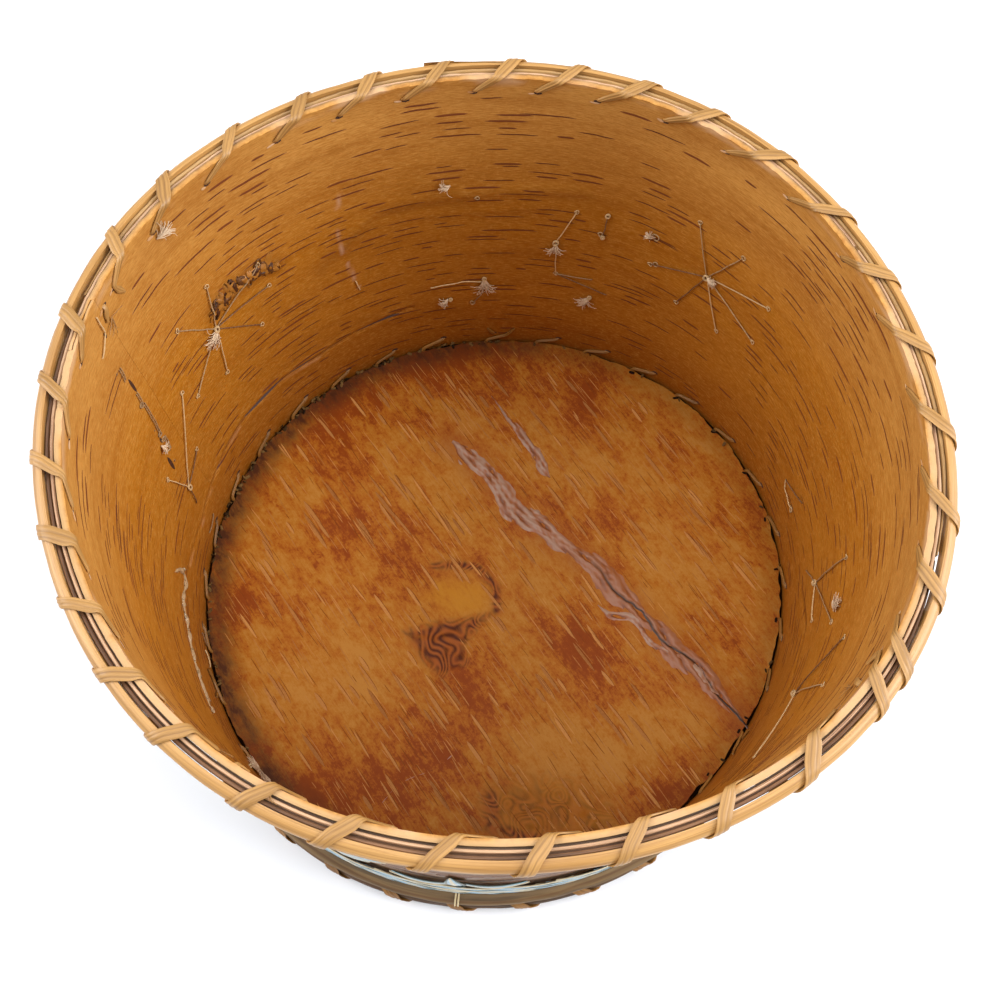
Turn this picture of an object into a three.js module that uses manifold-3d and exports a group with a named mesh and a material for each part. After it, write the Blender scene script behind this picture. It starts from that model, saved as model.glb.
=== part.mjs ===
// A round box of birch bark: one sheet bent into a wall with a lapped and stitched side seam, a bark disc for
// its bottom, willow hoops and thin splints round its rim and foot, and split root lashed over them.
import * as THREE from 'three';
import Module from 'manifold-3d';

const library = await Module();
library.setup();

// Every length is in millimetres. Every angle is in degrees, counted from +X towards +Y.
const clearance = 0.3;
const overrun = 2;
const weld = 0.00001;
const facetAngle = 5;

// The box: its height to the edge of the bark, the wall's inner radius at its rim and at the ground, and how
// far the foot stands off the rim's centre.
const box = { height: 136, rimRadius: 112.5, footRadius: 102.5, leanX: 3.2, leanY: -3.6 };

// How far each end is out of round: how much it bulges as an oval, a triangle and a square, and where.
const rimShape = {
  oval: 1.8,
  ovalAngle: 174,
  triangle: 0.7,
  triangleAngle: 79,
  square: 0.9,
  squareAngle: -27,
};
const footShape = { oval: 2, ovalAngle: 42, triangle: 1, triangleAngle: 29, square: 0, squareAngle: 0 };

// The wall is one sheet of bark whose two ends are pared thin and lapped.
const wall = { thickness: 1.8, lapStartAngle: 167.6, lapAngle: 8, rows: 2 };

// The bottom is a disc of bark, let into the wall above the ground, with slots for the root near its edge.
const disc = { thickness: 2, underside: 1.6, slotInset: 3 };

// Round the outside of the rim, from the wall outwards: a band of layered bark, two thin splints, and a hoop.
const band = { thickness: 1, height: 4.3, drop: 0.3, buttAngle: 32 };
const splint = { thickness: 1.2, height: 4, drop: 0.6, tip: 0.4, taperAngle: 14 };
const farSplint = { startAngle: -15, endAngle: 167 };
const hoop = { thickness: 3, height: 4.4, drop: 0.2, tip: 0.5, lapStartAngle: 91, lapAngle: 14 };

// Round the outside of the foot: a hoop that the root binds, and a second hoop above it, held by sinew ties.
const lowerHoop = { thickness: 5, height: 5.2, tip: 0.6, lapStartAngle: 202, lapAngle: 15 };
const upperHoop = { thickness: 4.6, height: 5, tip: 0.6, lapStartAngle: 22, lapAngle: 15, lift: 2.5 };

// Split root: a strap that is flat underneath and narrower on top. Its width is measured along the rim.
const strap = { width: 4.4, thickness: 0.7, crownShare: 0.66, rimTail: 5, footTail: 4, tailShare: 0.12 };

// The rim is bound with three lengths of root. Each goes clockwise from its first hole to its last, with the
// holes a little uneven, as a hand spaces them.
const rimHoleAngles = [
  [330.5, 320.5, 307, 296, 284, 273.5, 261, 249.5, 239.6],
  [236.4, 227.4, 217, 206.8, 197.6, 187.2, 175.8, 166.8],
  [163.6, 153.7, 142.5, 130, 119.4, 109, 97.8, 88.1, 78.4, 67.7]
    .concat([56.9, 44.9, 32.5, 21.9, 9.7, -2.4, -13.9, -23.9, -34.5]),
];

// The foot is bound with three lengths as well, one after the other with a small step between them.
const footRuns = { startAngle: 91.3, loops: [11, 11, 10], stepAngle: 3.2 };

// The side seam's running stitch goes in and out through both layers of the lap.
const seam = { thread: 0.9, top: 110, bottom: 56, stitches: 3, insideShare: 0.66 };

// Sinew ties hold the upper hoop on the side where they show, each midway between two holes of the foot's
// root.
const tie = { thread: 0.8, width: 1.2, run: 1, afterLoops: [1.5, 5.5, 9.5] };

// A band of laid quills runs above the upper hoop, and quill flowers stand on the wall. Beside each flower
// is a sprig of quill leaves, which point the way the legs of its threads do.
const quillBand = { thickness: 1.5, height: 3.6, valleyShare: 0.45 };
const quills = { edge: 0.5, crown: 1.4, lift: 0.9 };
const flower = { tipRadius: 22, valleyRadius: 9, petals: 8 };
const leaf = { longest: 22, valleyRadius: 5 };
const flowers = [
  { angle: 54, heightShare: 0.55 },
  { angle: 150.7, heightShare: 0.57 },
  { angle: 246, heightShare: 0.5 },
  { angle: 334, heightShare: 0.52 },
];

// Threads on the inside of the wall hold the quillwork. Each has a knot, and legs that reach to a stitch
// hole: a leg's angle is counted from level, and its reach is a share of the longest.
const thread = { width: 0.7, knotRadius: 1.1, reach: 36 };
const threadStars = [
  {
    angle: 54,
    heightShare: 0.55,
    legAngles: [71, 116, 161, 207, 247, 291, 335],
    reachShares: [0.65, 0.63, 0.64, 0.73, 0.66, 0.63, 0.63],
  },
  {
    angle: 150.7,
    heightShare: 0.57,
    legAngles: [50, 99, 155, 182, 225, 277, 318],
    reachShares: [0.56, 0.52, 0.67, 0.65, 0.64, 0.62, 0.66],
  },
  {
    angle: 334.5,
    heightShare: 0.39,
    legAngles: [64, 95, 169],
    reachShares: [0.81, 0.85, 0.73],
  },
];
const threadSprays = [
  {
    angle: 82.9,
    heightShare: 0.47,
    legAngles: [110, 225, 267],
    reachShares: [0.49, 0.61, 0.46],
  },
  {
    angle: 172.5,
    heightShare: 0.29,
    legAngles: [72, 120, 161],
    reachShares: [0.49, 1.01, 0.36],
  },
  {
    angle: 357.6,
    heightShare: 0.31,
    legAngles: [90, 125, 179],
    reachShares: [0.71, 0.81, 0.36],
  },
];

// The sprig at the near side, whose threads the rim hides.
const nearSprig = {
  angle: 268,
  heightShare: 0.28,
  legAngles: [12, 98, 170],
  reachShares: [0.66, 0.5, 0.66],
};
const looks = {
  innerBark: { color: '#b5762a', roughness: 0.62 },
  discBark: { color: '#9a5a28', roughness: 0.7 },
  layeredBark: { color: '#c69a78', roughness: 0.75 },
  splintWood: { color: '#c9a468', roughness: 0.6 },
  hoopWood: { color: '#dcb870', roughness: 0.5 },
  oldHoopWood: { color: '#6b4a2a', roughness: 0.6 },
  paleHoopWood: { color: '#a08560', roughness: 0.6 },
  root: { color: '#c08f4a', roughness: 0.55 },
  oldRoot: { color: '#9a7040', roughness: 0.6 },
  sinew: { color: '#cdb68a', roughness: 0.45 },
  quill: { color: '#a9b8be', roughness: 0.35 },
  thread: { color: '#8a6a44', roughness: 0.85 },
};

// How far the middle of a strap lies from what it binds.
const ride = clearance + strap.thickness / 2;
const bevelShare = Math.SQRT1_2;
const hoopTiltAngles = [60, 30, 0, -30, -60];

// How much of its way to the next hole the root has gone where it reaches a hoop's top and its bottom.
const rimHoopShares = [0.62, 0.78];
const footHoopShares = [0.65, 0.2];

// Where each piece of the rim lies, as distances out from the wall's inner face and heights.
const bandInner = wall.thickness + clearance;
const splintInner = bandInner + band.thickness + clearance;
const hoopInner = splintInner + splint.thickness + clearance;
const hoopTop = box.height - hoop.drop;
const hoopBottom = hoopTop - hoop.height;
const rimSlotHeight = hoopBottom - ride;

// Where each piece of the foot lies.
const discTop = disc.underside + disc.thickness;
const footInner = wall.thickness + clearance;
const lowerHoopBottom = disc.underside;
const lowerHoopTop = lowerHoopBottom + lowerHoop.height;
const footSlotHeight = lowerHoopTop + ride;
const upperHoopBottom = lowerHoopTop + upperHoop.lift;
const upperHoopTop = upperHoopBottom + upperHoop.height;

const turn = 360;

function radians(degrees) {
  return THREE.MathUtils.degToRad(degrees);
}

// The angle that a length along the wall takes up at a height.
function spread(length, z) {
  const radius = THREE.MathUtils.lerp(box.footRadius, box.rimRadius, z / box.height);
  return THREE.MathUtils.radToDeg(length / radius);
}

// How far an end of the box bulges at an angle.
function bulge(shape, angle) {
  const wave = (depth, bulges, bulgeAngle) => depth * Math.cos(bulges * radians(angle - bulgeAngle));
  const oval = wave(shape.oval, 2, shape.ovalAngle);
  return oval + wave(shape.triangle, 3, shape.triangleAngle) + wave(shape.square, 4, shape.squareAngle);
}

// The origin lies midway between the rim's extremes, so an uneven rim has its own centre a little off it.
function findRimCentre() {
  const angles = Array.from({ length: turn }, (_, i) => i);
  const outline = new THREE.Box2().setFromPoints(angles.map((angle) => {
    const radius = box.rimRadius + bulge(rimShape, angle);
    return new THREE.Vector2(radius * Math.cos(radians(angle)), radius * Math.sin(radians(angle)));
  }));
  return outline.getCenter(new THREE.Vector2()).negate();
}

const rimCentre = findRimCentre();

// A point of the box, from an angle round it, a height, and a distance out from the wall's inner face. The
// radius and the centre go evenly from the foot's to the rim's.
function at(angle, z, out = 0) {
  const share = z / box.height;
  const footRadius = box.footRadius + bulge(footShape, angle);
  const rimRadius = box.rimRadius + bulge(rimShape, angle);
  const radius = THREE.MathUtils.lerp(footRadius, rimRadius, share) + out;
  const x = rimCentre.x + THREE.MathUtils.lerp(box.leanX, 0, share) + radius * Math.cos(radians(angle));
  const y = rimCentre.y + THREE.MathUtils.lerp(box.leanY, 0, share) + radius * Math.sin(radians(angle));
  return new THREE.Vector3(x, y, z);
}

// A closed skin of triangles that share the corners where they meet. Faces that collapse are left out.
class Skin {
  constructor() {
    this.points = [];
    this.faces = [];
    this.known = new Map();
  }

  corner(point) {
    const key = point.toArray().map((value) => Math.round(value / weld)).join();
    if (!this.known.has(key)) {
      this.known.set(key, this.points.length);
      this.points.push(point);
    }
    return this.known.get(key);
  }

  face(a, b, c) {
    const corners = [a, b, c].map((point) => this.corner(point));
    if (new Set(corners).size === corners.length) {
      this.faces.push(corners);
    }
  }

  quad(a, b, c, d) {
    this.face(a, b, c);
    this.face(a, c, d);
  }

  fan(points) {
    for (let i = 1; i < points.length - 1; i += 1) {
      this.face(points[0], points[i], points[i + 1]);
    }
  }

  // Six times the volume inside, which is negative while the faces point inwards.
  measure() {
    const volume = (corners) => {
      const [a, b, c] = corners.map((index) => this.points[index]);
      return a.dot(new THREE.Vector3().crossVectors(b, c));
    };
    return this.faces.reduce((sum, corners) => sum + volume(corners), 0);
  }

  triangles() {
    const inward = this.measure() < 0;
    return this.faces.flatMap(([a, b, c]) => (inward ? [a, c, b] : [a, b, c]));
  }

  solid() {
    const vertProperties = new Float32Array(this.points.flatMap((point) => point.toArray()));
    const triVerts = new Uint32Array(this.triangles());
    return new library.Manifold(new library.Mesh({ numProp: 3, vertProperties, triVerts }));
  }

  geometry() {
    const geometry = new THREE.BufferGeometry();
    const positions = this.points.flatMap((point) => point.toArray());
    geometry.setAttribute('position', new THREE.Float32BufferAttribute(positions, 3));
    geometry.setIndex(this.triangles());
    geometry.computeVertexNormals();
    return geometry;
  }
}

function geometryOf(solid) {
  const mesh = solid.getMesh();
  const geometry = new THREE.BufferGeometry();
  geometry.setAttribute('position', new THREE.BufferAttribute(mesh.vertProperties, 3));
  geometry.setIndex(new THREE.BufferAttribute(mesh.triVerts, 1));
  geometry.computeVertexNormals();
  return geometry;
}

// A skin through sections that have the same number of corners, closed on itself or with a face at each end.
function loft(sections, closed = false) {
  const skin = new Skin();
  const count = sections.length;
  const spans = closed ? count : count - 1;
  for (let i = 0; i < spans; i += 1) {
    const here = sections[i];
    const next = sections[(i + 1) % count];
    here.forEach((point, j) => {
      const k = (j + 1) % here.length;
      skin.quad(point, here[k], next[k], next[j]);
    });
  }
  if (!closed) {
    skin.fan([...sections[0]].reverse());
    skin.fan(sections[count - 1]);
  }
  return skin;
}

// The angles from one to another, with every facet's angle between them.
function anglesBetween(start, end) {
  const angles = [start];
  const least = facetAngle / 5;
  for (let angle = Math.ceil(start / facetAngle) * facetAngle; angle < end - least; angle += facetAngle) {
    if (angle > start + least) {
      angles.push(angle);
    }
  }
  angles.push(end);
  return angles;
}

// A strip bent round the box with its ends lapped. The inner end fills the strip's thickness up to a parting
// face, and the outer end fills what is left beyond a clearance. Each column says what is filled there.
function lappedColumns({ start, lapAngle, thickness, firstFace, lastFace, z }) {
  const gapAngle = spread(clearance, z);
  const lapEnd = start + lapAngle;
  const parting = (angle) => THREE.MathUtils.lerp(firstFace, lastFace, (angle - start) / lapAngle);
  const inner = anglesBetween(start, lapEnd).map((angle) => ({ angle, from: 0, to: parting(angle) }));
  const middle = anglesBetween(lapEnd, start + turn - gapAngle).map((angle) => (
    { angle, from: 0, to: thickness }
  ));
  const outer = anglesBetween(start - gapAngle, lapEnd - gapAngle).map((angle) => (
    { angle: angle + turn, from: parting(angle) + clearance, to: thickness }
  ));
  return [...inner, ...middle, ...outer];
}

// The section of a half-round rod, flat side in: a slice of half an ellipse between two distances out.
function halfRoundSection(column, piece, inner, bottom) {
  const middle = bottom + piece.height / 2;
  const shares = [0, bevelShare, 1];
  const rows = shares.map((share) => {
    const out = THREE.MathUtils.lerp(column.from, column.to, share);
    const half = (piece.height / 2) * Math.sqrt(Math.max(0, 1 - (out / piece.thickness) ** 2));
    return { out, half };
  });
  const lower = rows.map((row) => at(column.angle, middle - row.half, inner + row.out));
  const upper = rows.map((row) => at(column.angle, middle + row.half, inner + row.out)).reverse();
  return [...lower, ...upper];
}

function halfRoundHoop(piece, inner, bottom) {
  const columns = lappedColumns({
    start: piece.lapStartAngle,
    lapAngle: piece.lapAngle,
    thickness: piece.thickness,
    firstFace: piece.tip,
    lastFace: piece.thickness - piece.tip - clearance,
    z: bottom,
  });
  return loft(columns.map((column) => halfRoundSection(column, piece, inner, bottom)));
}

function flatSection(angle, inner, outer, bottom, top) {
  return [at(angle, bottom, inner), at(angle, bottom, outer), at(angle, top, outer), at(angle, top, inner)];
}

// A block that cuts a hole out from inside the wall: its middle, its width along the wall and its height.
function cutter(angle, z, width, height, inner, outer) {
  const half = spread(width, z) / 2;
  const sections = [inner, outer].map((out) => [
    at(angle - half, z - height / 2, out),
    at(angle + half, z - height / 2, out),
    at(angle + half, z + height / 2, out),
    at(angle - half, z + height / 2, out),
  ]);
  return loft(sections).solid();
}

function cut(skin, cutters) {
  const joined = library.Manifold.union(cutters);
  return geometryOf(skin.solid().subtract(joined));
}

// The angle that a run of root has reached after a number of loops, going evenly from hole to hole.
function runAngle(holes, loops) {
  const from = THREE.MathUtils.clamp(Math.floor(loops), 0, holes.length - 2);
  return THREE.MathUtils.lerp(holes[from], holes[from + 1], loops - from);
}

// The holes of three lengths of root round the foot, each starting a step past the last one's end.
function makeFootHoles() {
  const total = footRuns.loops.reduce((sum, loops) => sum + loops, 0);
  const pitch = (turn - footRuns.loops.length * footRuns.stepAngle) / total;
  let start = footRuns.startAngle;
  return footRuns.loops.map((loops) => {
    const holes = Array.from({ length: loops + 1 }, (_, i) => start - i * pitch);
    start = holes[loops] - footRuns.stepAngle;
    return holes;
  });
}

// Points on the half ellipse that a strap follows round a half-round hoop, from its top down.
function roundHoop(piece, inner, bottom, [topShare, bottomShare]) {
  return hoopTiltAngles.map((tilt, i) => ({
    out: inner + (piece.thickness + ride) * Math.cos(radians(tilt)),
    z: bottom + piece.height / 2 + (piece.height / 2 + ride) * Math.sin(radians(tilt)),
    share: THREE.MathUtils.lerp(topShare, bottomShare, i / (hoopTiltAngles.length - 1)),
  }));
}

// One loop over the rim: out of the slot, up the inside, over the edge and the hoop, and down to the wall.
function rimLoop() {
  const bevel = ride * bevelShare;
  return [
    { out: 0, z: rimSlotHeight, share: 0 },
    { out: -bevel, z: rimSlotHeight + ride - bevel, share: 0 },
    { out: -ride, z: rimSlotHeight + ride, share: 0 },
    { out: -ride, z: box.height, share: 0.3 },
    { out: -bevel, z: box.height + bevel, share: 0.33 },
    { out: 0, z: box.height + ride, share: 0.36 },
    { out: hoopInner, z: hoopTop + ride, share: 0.57 },
    ...roundHoop(hoop, hoopInner, hoopBottom, rimHoopShares),
    { out: hoopInner, z: rimSlotHeight, share: 0.88 },
    { out: bandInner, z: rimSlotHeight, share: 1 },
  ];
}

// One loop round the foot: in at the wall, down through the disc, out under the wall and up round the hoop.
function footLoop() {
  const bevel = ride * bevelShare;
  const slotMiddle = -disc.slotInset;
  return [
    { out: 0, z: footSlotHeight, share: 0 },
    { out: -bevel, z: footSlotHeight - ride + bevel, share: 0 },
    { out: -ride, z: footSlotHeight - ride, share: 0 },
    { out: slotMiddle, z: discTop + ride, share: 0 },
    { out: slotMiddle, z: disc.underside, share: 0 },
    { out: slotMiddle + ride - bevel, z: disc.underside - bevel, share: 0 },
    { out: slotMiddle + ride, z: disc.underside - ride, share: 0 },
    { out: wall.thickness, z: disc.underside - ride, share: 0 },
    { out: footInner, z: lowerHoopBottom - ride, share: 0.04 },
    ...roundHoop(lowerHoop, footInner, lowerHoopBottom, footHoopShares).reverse(),
    { out: footInner, z: lowerHoopTop + ride, share: 0.93 },
    { out: wall.thickness, z: footSlotHeight, share: 1 },
  ];
}

// A strap swept through stations. Its section stands square to its path as seen along the rim, so a slanting
// strap bends flat round each corner, where the section is drawn out so that the strap keeps its thickness.
// The side says on which hand the outside of the loop lies.
function sweep(stations, { width, thickness, crownShare, side, closed = false }) {
  const count = stations.length;
  const way = (from, to) => new THREE.Vector2(to.out - from.out, to.z - from.z).normalize();
  const sections = stations.map((station, i) => {
    const before = stations[closed ? (i + count - 1) % count : Math.max(i - 1, 0)];
    const after = stations[closed ? (i + 1) % count : Math.min(i + 1, count - 1)];
    const leaving = after === station ? way(before, station) : way(station, after);
    const arriving = before === station ? leaving : way(before, station);
    const run = new THREE.Vector2().addVectors(arriving, leaving).normalize();
    const half = thickness / 2 / run.dot(leaving);
    const around = radians(station.angle);
    const outward = new THREE.Vector3(Math.cos(around), Math.sin(around), 0);
    const along = new THREE.Vector3(-Math.sin(around), Math.cos(around), 0);
    const away = outward.clone().multiplyScalar(-run.y * side);
    away.z = run.x * side;
    const middle = at(station.angle, station.z, station.out);
    const corner = (across, up) => middle.clone().addScaledVector(along, across).addScaledVector(away, up);
    return [
      corner(-width / 2, -half),
      corner(width / 2, -half),
      corner((width * crownShare) / 2, half),
      corner((-width * crownShare) / 2, half),
    ];
  });
  return loft(sections, closed);
}

// The least gap between one loop of a run and the next, taken between the strap's middle points.
function leastGap(stations, perLoop) {
  const points = stations.map((station) => at(station.angle, station.z, station.out));
  const distances = points.flatMap((point, i) => (
    points.slice(i + perLoop).map((other) => other.distanceTo(point))
  ));
  return Math.min(...distances) - strap.width;
}

// A length of root: a tail, its loops one after another, and a tail.
function lash(name, holes, loop, tails, side) {
  const loops = holes.length - 1;
  const place = ({ out, z, share }, done) => ({ out, z, angle: runAngle(holes, done + share) });
  const stations = [place(tails.start, 0)];
  for (let i = 0; i < loops; i += 1) {
    const fresh = i === 0 ? loop.slice(2) : loop;
    stations.push(...fresh.map((station) => place(station, i)));
  }
  stations.push(...tails.end.map((station) => place(station, loops)));
  console.log(`${name}: ${loops} loops, least gap ${leastGap(stations, loop.length).toFixed(2)} mm`);
  return sweep(stations, { ...strap, side });
}

function rimTails() {
  const bevel = ride * bevelShare;
  return {
    start: { out: -ride, z: rimSlotHeight - strap.rimTail, share: strap.tailShare },
    end: [
      { out: 0, z: rimSlotHeight, share: 0 },
      { out: -bevel, z: rimSlotHeight - ride + bevel, share: 0 },
      { out: -ride, z: rimSlotHeight - ride, share: 0 },
      { out: -ride, z: rimSlotHeight - strap.rimTail, share: -strap.tailShare },
    ],
  };
}

function footTails() {
  const bevel = ride * bevelShare;
  return {
    start: { out: -ride, z: footSlotHeight + strap.footTail, share: strap.tailShare },
    end: [
      { out: 0, z: footSlotHeight, share: 0 },
      { out: -bevel, z: footSlotHeight + ride - bevel, share: 0 },
      { out: -ride, z: footSlotHeight + ride, share: 0 },
      { out: -ride, z: footSlotHeight + strap.footTail, share: -strap.tailShare },
    ],
  };
}

// The heights between which each of the seam's inside stitches runs, from the top down.
function seamStitches() {
  const pitch = (seam.top - seam.bottom) / (seam.stitches - 1 + seam.insideShare);
  const tops = Array.from({ length: seam.stitches }, (_, i) => seam.top - i * pitch);
  return tops.map((top) => [top, top - pitch * seam.insideShare]);
}

const seamAngle = wall.lapStartAngle + wall.lapAngle / 2;
const seamRide = clearance + seam.thread / 2;
const tieRide = clearance + tie.thread / 2;
const tieHoles = [upperHoopBottom - tieRide, upperHoopTop + tieRide];
const footHoleAngles = makeFootHoles();
const tieAngles = tie.afterLoops.map((loops) => runAngle(footHoleAngles[tie.run], loops));

// The wall's openings: slots for the root at rim and foot, nicks for it in the lower edge, and the holes for
// the seam's thread and for the ties.
function wallCutters() {
  const inner = -overrun;
  const outer = wall.thickness + overrun;
  const cutAll = (angles, z, width, height) => angles.map((angle) => (
    cutter(angle, z, width + 2 * clearance, height + 2 * clearance, inner, outer)
  ));
  const rimSlots = rimHoleAngles.flatMap((holes) => holes.slice(1));
  const footSlots = footHoleAngles.flatMap((holes) => holes.slice(1));
  const nicks = footHoleAngles.flatMap((holes) => holes.slice(0, -1));
  const nickHeight = disc.underside + overrun;
  const nickMiddle = disc.underside - clearance - nickHeight / 2;
  const seamHeights = seamStitches().flat().slice(1, -1);
  return [
    ...cutAll(rimSlots, rimSlotHeight, strap.width, strap.thickness),
    ...cutAll(footSlots, footSlotHeight, strap.width, strap.thickness),
    ...cutAll(nicks, nickMiddle, strap.width, nickHeight),
    ...seamHeights.flatMap((z) => cutAll([seamAngle], z, seam.thread, seam.thread)),
    ...tieHoles.flatMap((z) => cutAll(tieAngles, z, tie.width, tie.thread)),
  ];
}

function makeWall() {
  const face = (wall.thickness - clearance) / 2;
  const columns = lappedColumns({
    start: wall.lapStartAngle,
    lapAngle: wall.lapAngle,
    thickness: wall.thickness,
    firstFace: face,
    lastFace: face,
    z: box.height,
  });
  const heights = Array.from({ length: wall.rows + 1 }, (_, i) => (i / wall.rows) * box.height);
  const sections = columns.map(({ angle, from, to }) => [
    ...heights.map((z) => at(angle, z, to)),
    ...heights.map((z) => at(angle, z, from)).reverse(),
  ]);
  return cut(loft(sections), wallCutters());
}

function makeDisc() {
  const skin = new Skin();
  const angles = anglesBetween(0, turn - facetAngle);
  const ring = (z) => angles.map((angle) => at(angle, z, -clearance));
  const top = ring(discTop);
  const under = ring(disc.underside);
  const middle = (z) => at(0, z).add(at(turn / 2, z)).divideScalar(2);
  top.forEach((point, i) => {
    const k = (i + 1) % top.length;
    skin.face(middle(discTop), point, top[k]);
    skin.face(middle(disc.underside), under[k], under[i]);
    skin.quad(under[i], under[k], top[k], point);
  });
  const depth = disc.thickness + 2 * overrun;
  const half = strap.thickness / 2 + clearance;
  const cutters = footHoleAngles.flatMap((holes) => holes.slice(0, -1)).map((angle) => (
    cutter(
      angle,
      discTop + overrun - depth / 2,
      strap.width + 2 * clearance,
      depth,
      -disc.slotInset - half,
      -disc.slotInset + half,
    )
  ));
  return cut(skin, cutters);
}

function makeBand() {
  const top = box.height - band.drop;
  const bottom = top - band.height;
  const angles = anglesBetween(band.buttAngle, band.buttAngle + turn - spread(clearance, top));
  const outer = bandInner + band.thickness;
  return loft(angles.map((angle) => flatSection(angle, bandInner, outer, bottom, top))).geometry();
}

// A splint that thins towards each end, where the next one follows it.
function makeSplint({ startAngle, endAngle }) {
  const top = box.height - splint.drop;
  const bottom = top - splint.height;
  const sections = anglesBetween(startAngle, endAngle).map((angle) => {
    const fromEnd = Math.min(angle - startAngle, endAngle - angle) / splint.taperAngle;
    const thickness = THREE.MathUtils.lerp(splint.tip, splint.thickness, Math.min(fromEnd, 1));
    return flatSection(angle, splintInner, splintInner + thickness, bottom, top);
  });
  return loft(sections).geometry();
}

// The running stitch up the seam, with both of its ends inside the wall.
function makeSeamStitch() {
  const inside = -seamRide;
  const outside = wall.thickness + seamRide;
  const stations = seamStitches().flatMap(([top, bottom]) => [
    { out: outside, z: top },
    { out: inside, z: top },
    { out: inside, z: bottom },
    { out: outside, z: bottom },
  ]).slice(1, -1).map((station) => ({ ...station, angle: seamAngle }));
  return sweep(stations, { width: seam.thread, thickness: seam.thread, crownShare: 1, side: 1 });
}

// A tie: a closed loop through two holes in the wall and round the upper hoop.
function makeTie(angle) {
  const inside = -tieRide;
  const reach = footInner + upperHoop.thickness + tieRide;
  const [low, high] = tieHoles;
  const bevel = upperHoop.height / 4;
  const stations = [
    { out: inside, z: low },
    { out: footInner, z: low },
    { out: reach - bevel, z: low + bevel },
    { out: reach, z: (low + high) / 2 },
    { out: reach - bevel, z: high - bevel },
    { out: footInner, z: high },
    { out: inside, z: high },
  ].map((station) => ({ ...station, angle }));
  const section = { width: tie.width, thickness: tie.thread, crownShare: 1 };
  return sweep(stations, { ...section, side: -1, closed: true });
}

// Laid quills above the upper hoop: a ring with two rounded rows.
function makeQuillBand() {
  const bottom = upperHoopTop + clearance + tie.thread + clearance;
  const outer = footInner + quillBand.thickness;
  const valley = THREE.MathUtils.lerp(footInner, outer, quillBand.valleyShare);
  const sections = anglesBetween(0, turn - facetAngle).map((angle) => [
    at(angle, bottom, footInner),
    at(angle, bottom + quillBand.height / 4, outer),
    at(angle, bottom + quillBand.height / 2, valley),
    at(angle, bottom + (3 * quillBand.height) / 4, outer),
    at(angle, bottom + quillBand.height, footInner),
  ]);
  return loft(sections, true).geometry();
}

// Quills on the wall's outer face: a star with a ridge to each tip and a raised middle. Its corners are tips
// and valleys by turns, each with its tilt from level and its radius.
function quillStar({ angle, heightShare }, corners) {
  const z = heightShare * box.height;
  const skin = new Skin();
  const ringShares = [0.34, 0.68, 1];
  const foot = wall.thickness + quills.lift;
  const place = (radius, tilt, out) => {
    const across = spread(radius * Math.cos(tilt), z);
    return at(angle + across, z + radius * Math.sin(tilt), out);
  };
  const ring = (share, lifted) => corners.map(({ tilt, radius, tip }) => {
    const crown = tip ? THREE.MathUtils.lerp(quills.crown, quills.edge, share) : quills.edge;
    return place(share * radius, tilt, foot + (lifted ? crown : 0));
  });
  [true, false].forEach((lifted) => {
    const rings = ringShares.map((share) => ring(share, lifted));
    const middle = place(0, 0, foot + (lifted ? quills.crown : 0));
    const face = (a, b, c) => (lifted ? skin.face(a, b, c) : skin.face(a, c, b));
    corners.forEach((_, i) => {
      const k = (i + 1) % corners.length;
      face(middle, rings[0][i], rings[0][k]);
      for (let j = 0; j < rings.length - 1; j += 1) {
        face(rings[j][i], rings[j + 1][i], rings[j + 1][k]);
        face(rings[j][i], rings[j + 1][k], rings[j][k]);
      }
    });
  });
  const upper = ring(1, true);
  const lower = ring(1, false);
  upper.forEach((point, i) => {
    const k = (i + 1) % corners.length;
    skin.quad(lower[i], lower[k], upper[k], point);
  });
  return skin.geometry();
}

// A flower: petals at even steps with a valley between each two.
function makeFlower(spot) {
  const count = 2 * flower.petals;
  const corners = Array.from({ length: count }, (_, i) => {
    const tip = i % 2 === 0;
    return { tip, tilt: (i / count) * 2 * Math.PI, radius: tip ? flower.tipRadius : flower.valleyRadius };
  });
  return quillStar(spot, corners);
}

// A sprig: a leaf along each leg of its threads, and a valley midway to the next leaf.
function makeSprig(spray) {
  const corners = spray.legAngles.flatMap((leg, i) => {
    const last = i + 1 === spray.legAngles.length;
    const next = last ? spray.legAngles[0] + turn : spray.legAngles[i + 1];
    const radius = Math.min(spray.reachShares[i] * thread.reach, leaf.longest);
    return [
      { tip: true, tilt: radians(leg), radius },
      { tip: false, tilt: radians((leg + next) / 2), radius: leaf.valleyRadius },
    ];
  });
  return quillStar(spray, corners);
}

// A straight thread between two points, four-sided, with one side facing the wall.
function strand(start, end, width) {
  const way = new THREE.Vector3().subVectors(end, start).normalize();
  const inward = new THREE.Vector3(-start.x, -start.y, 0).normalize();
  const across = new THREE.Vector3().crossVectors(way, inward).normalize();
  const up = new THREE.Vector3().crossVectors(across, way);
  const corners = [[-1, -1], [1, -1], [1, 1], [-1, 1]];
  const section = (point) => corners.map(([a, b]) => (
    point.clone().addScaledVector(across, (a * width) / 2).addScaledVector(up, (b * width) / 2)
  ));
  return loft([section(start), section(end)]).solid();
}

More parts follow.
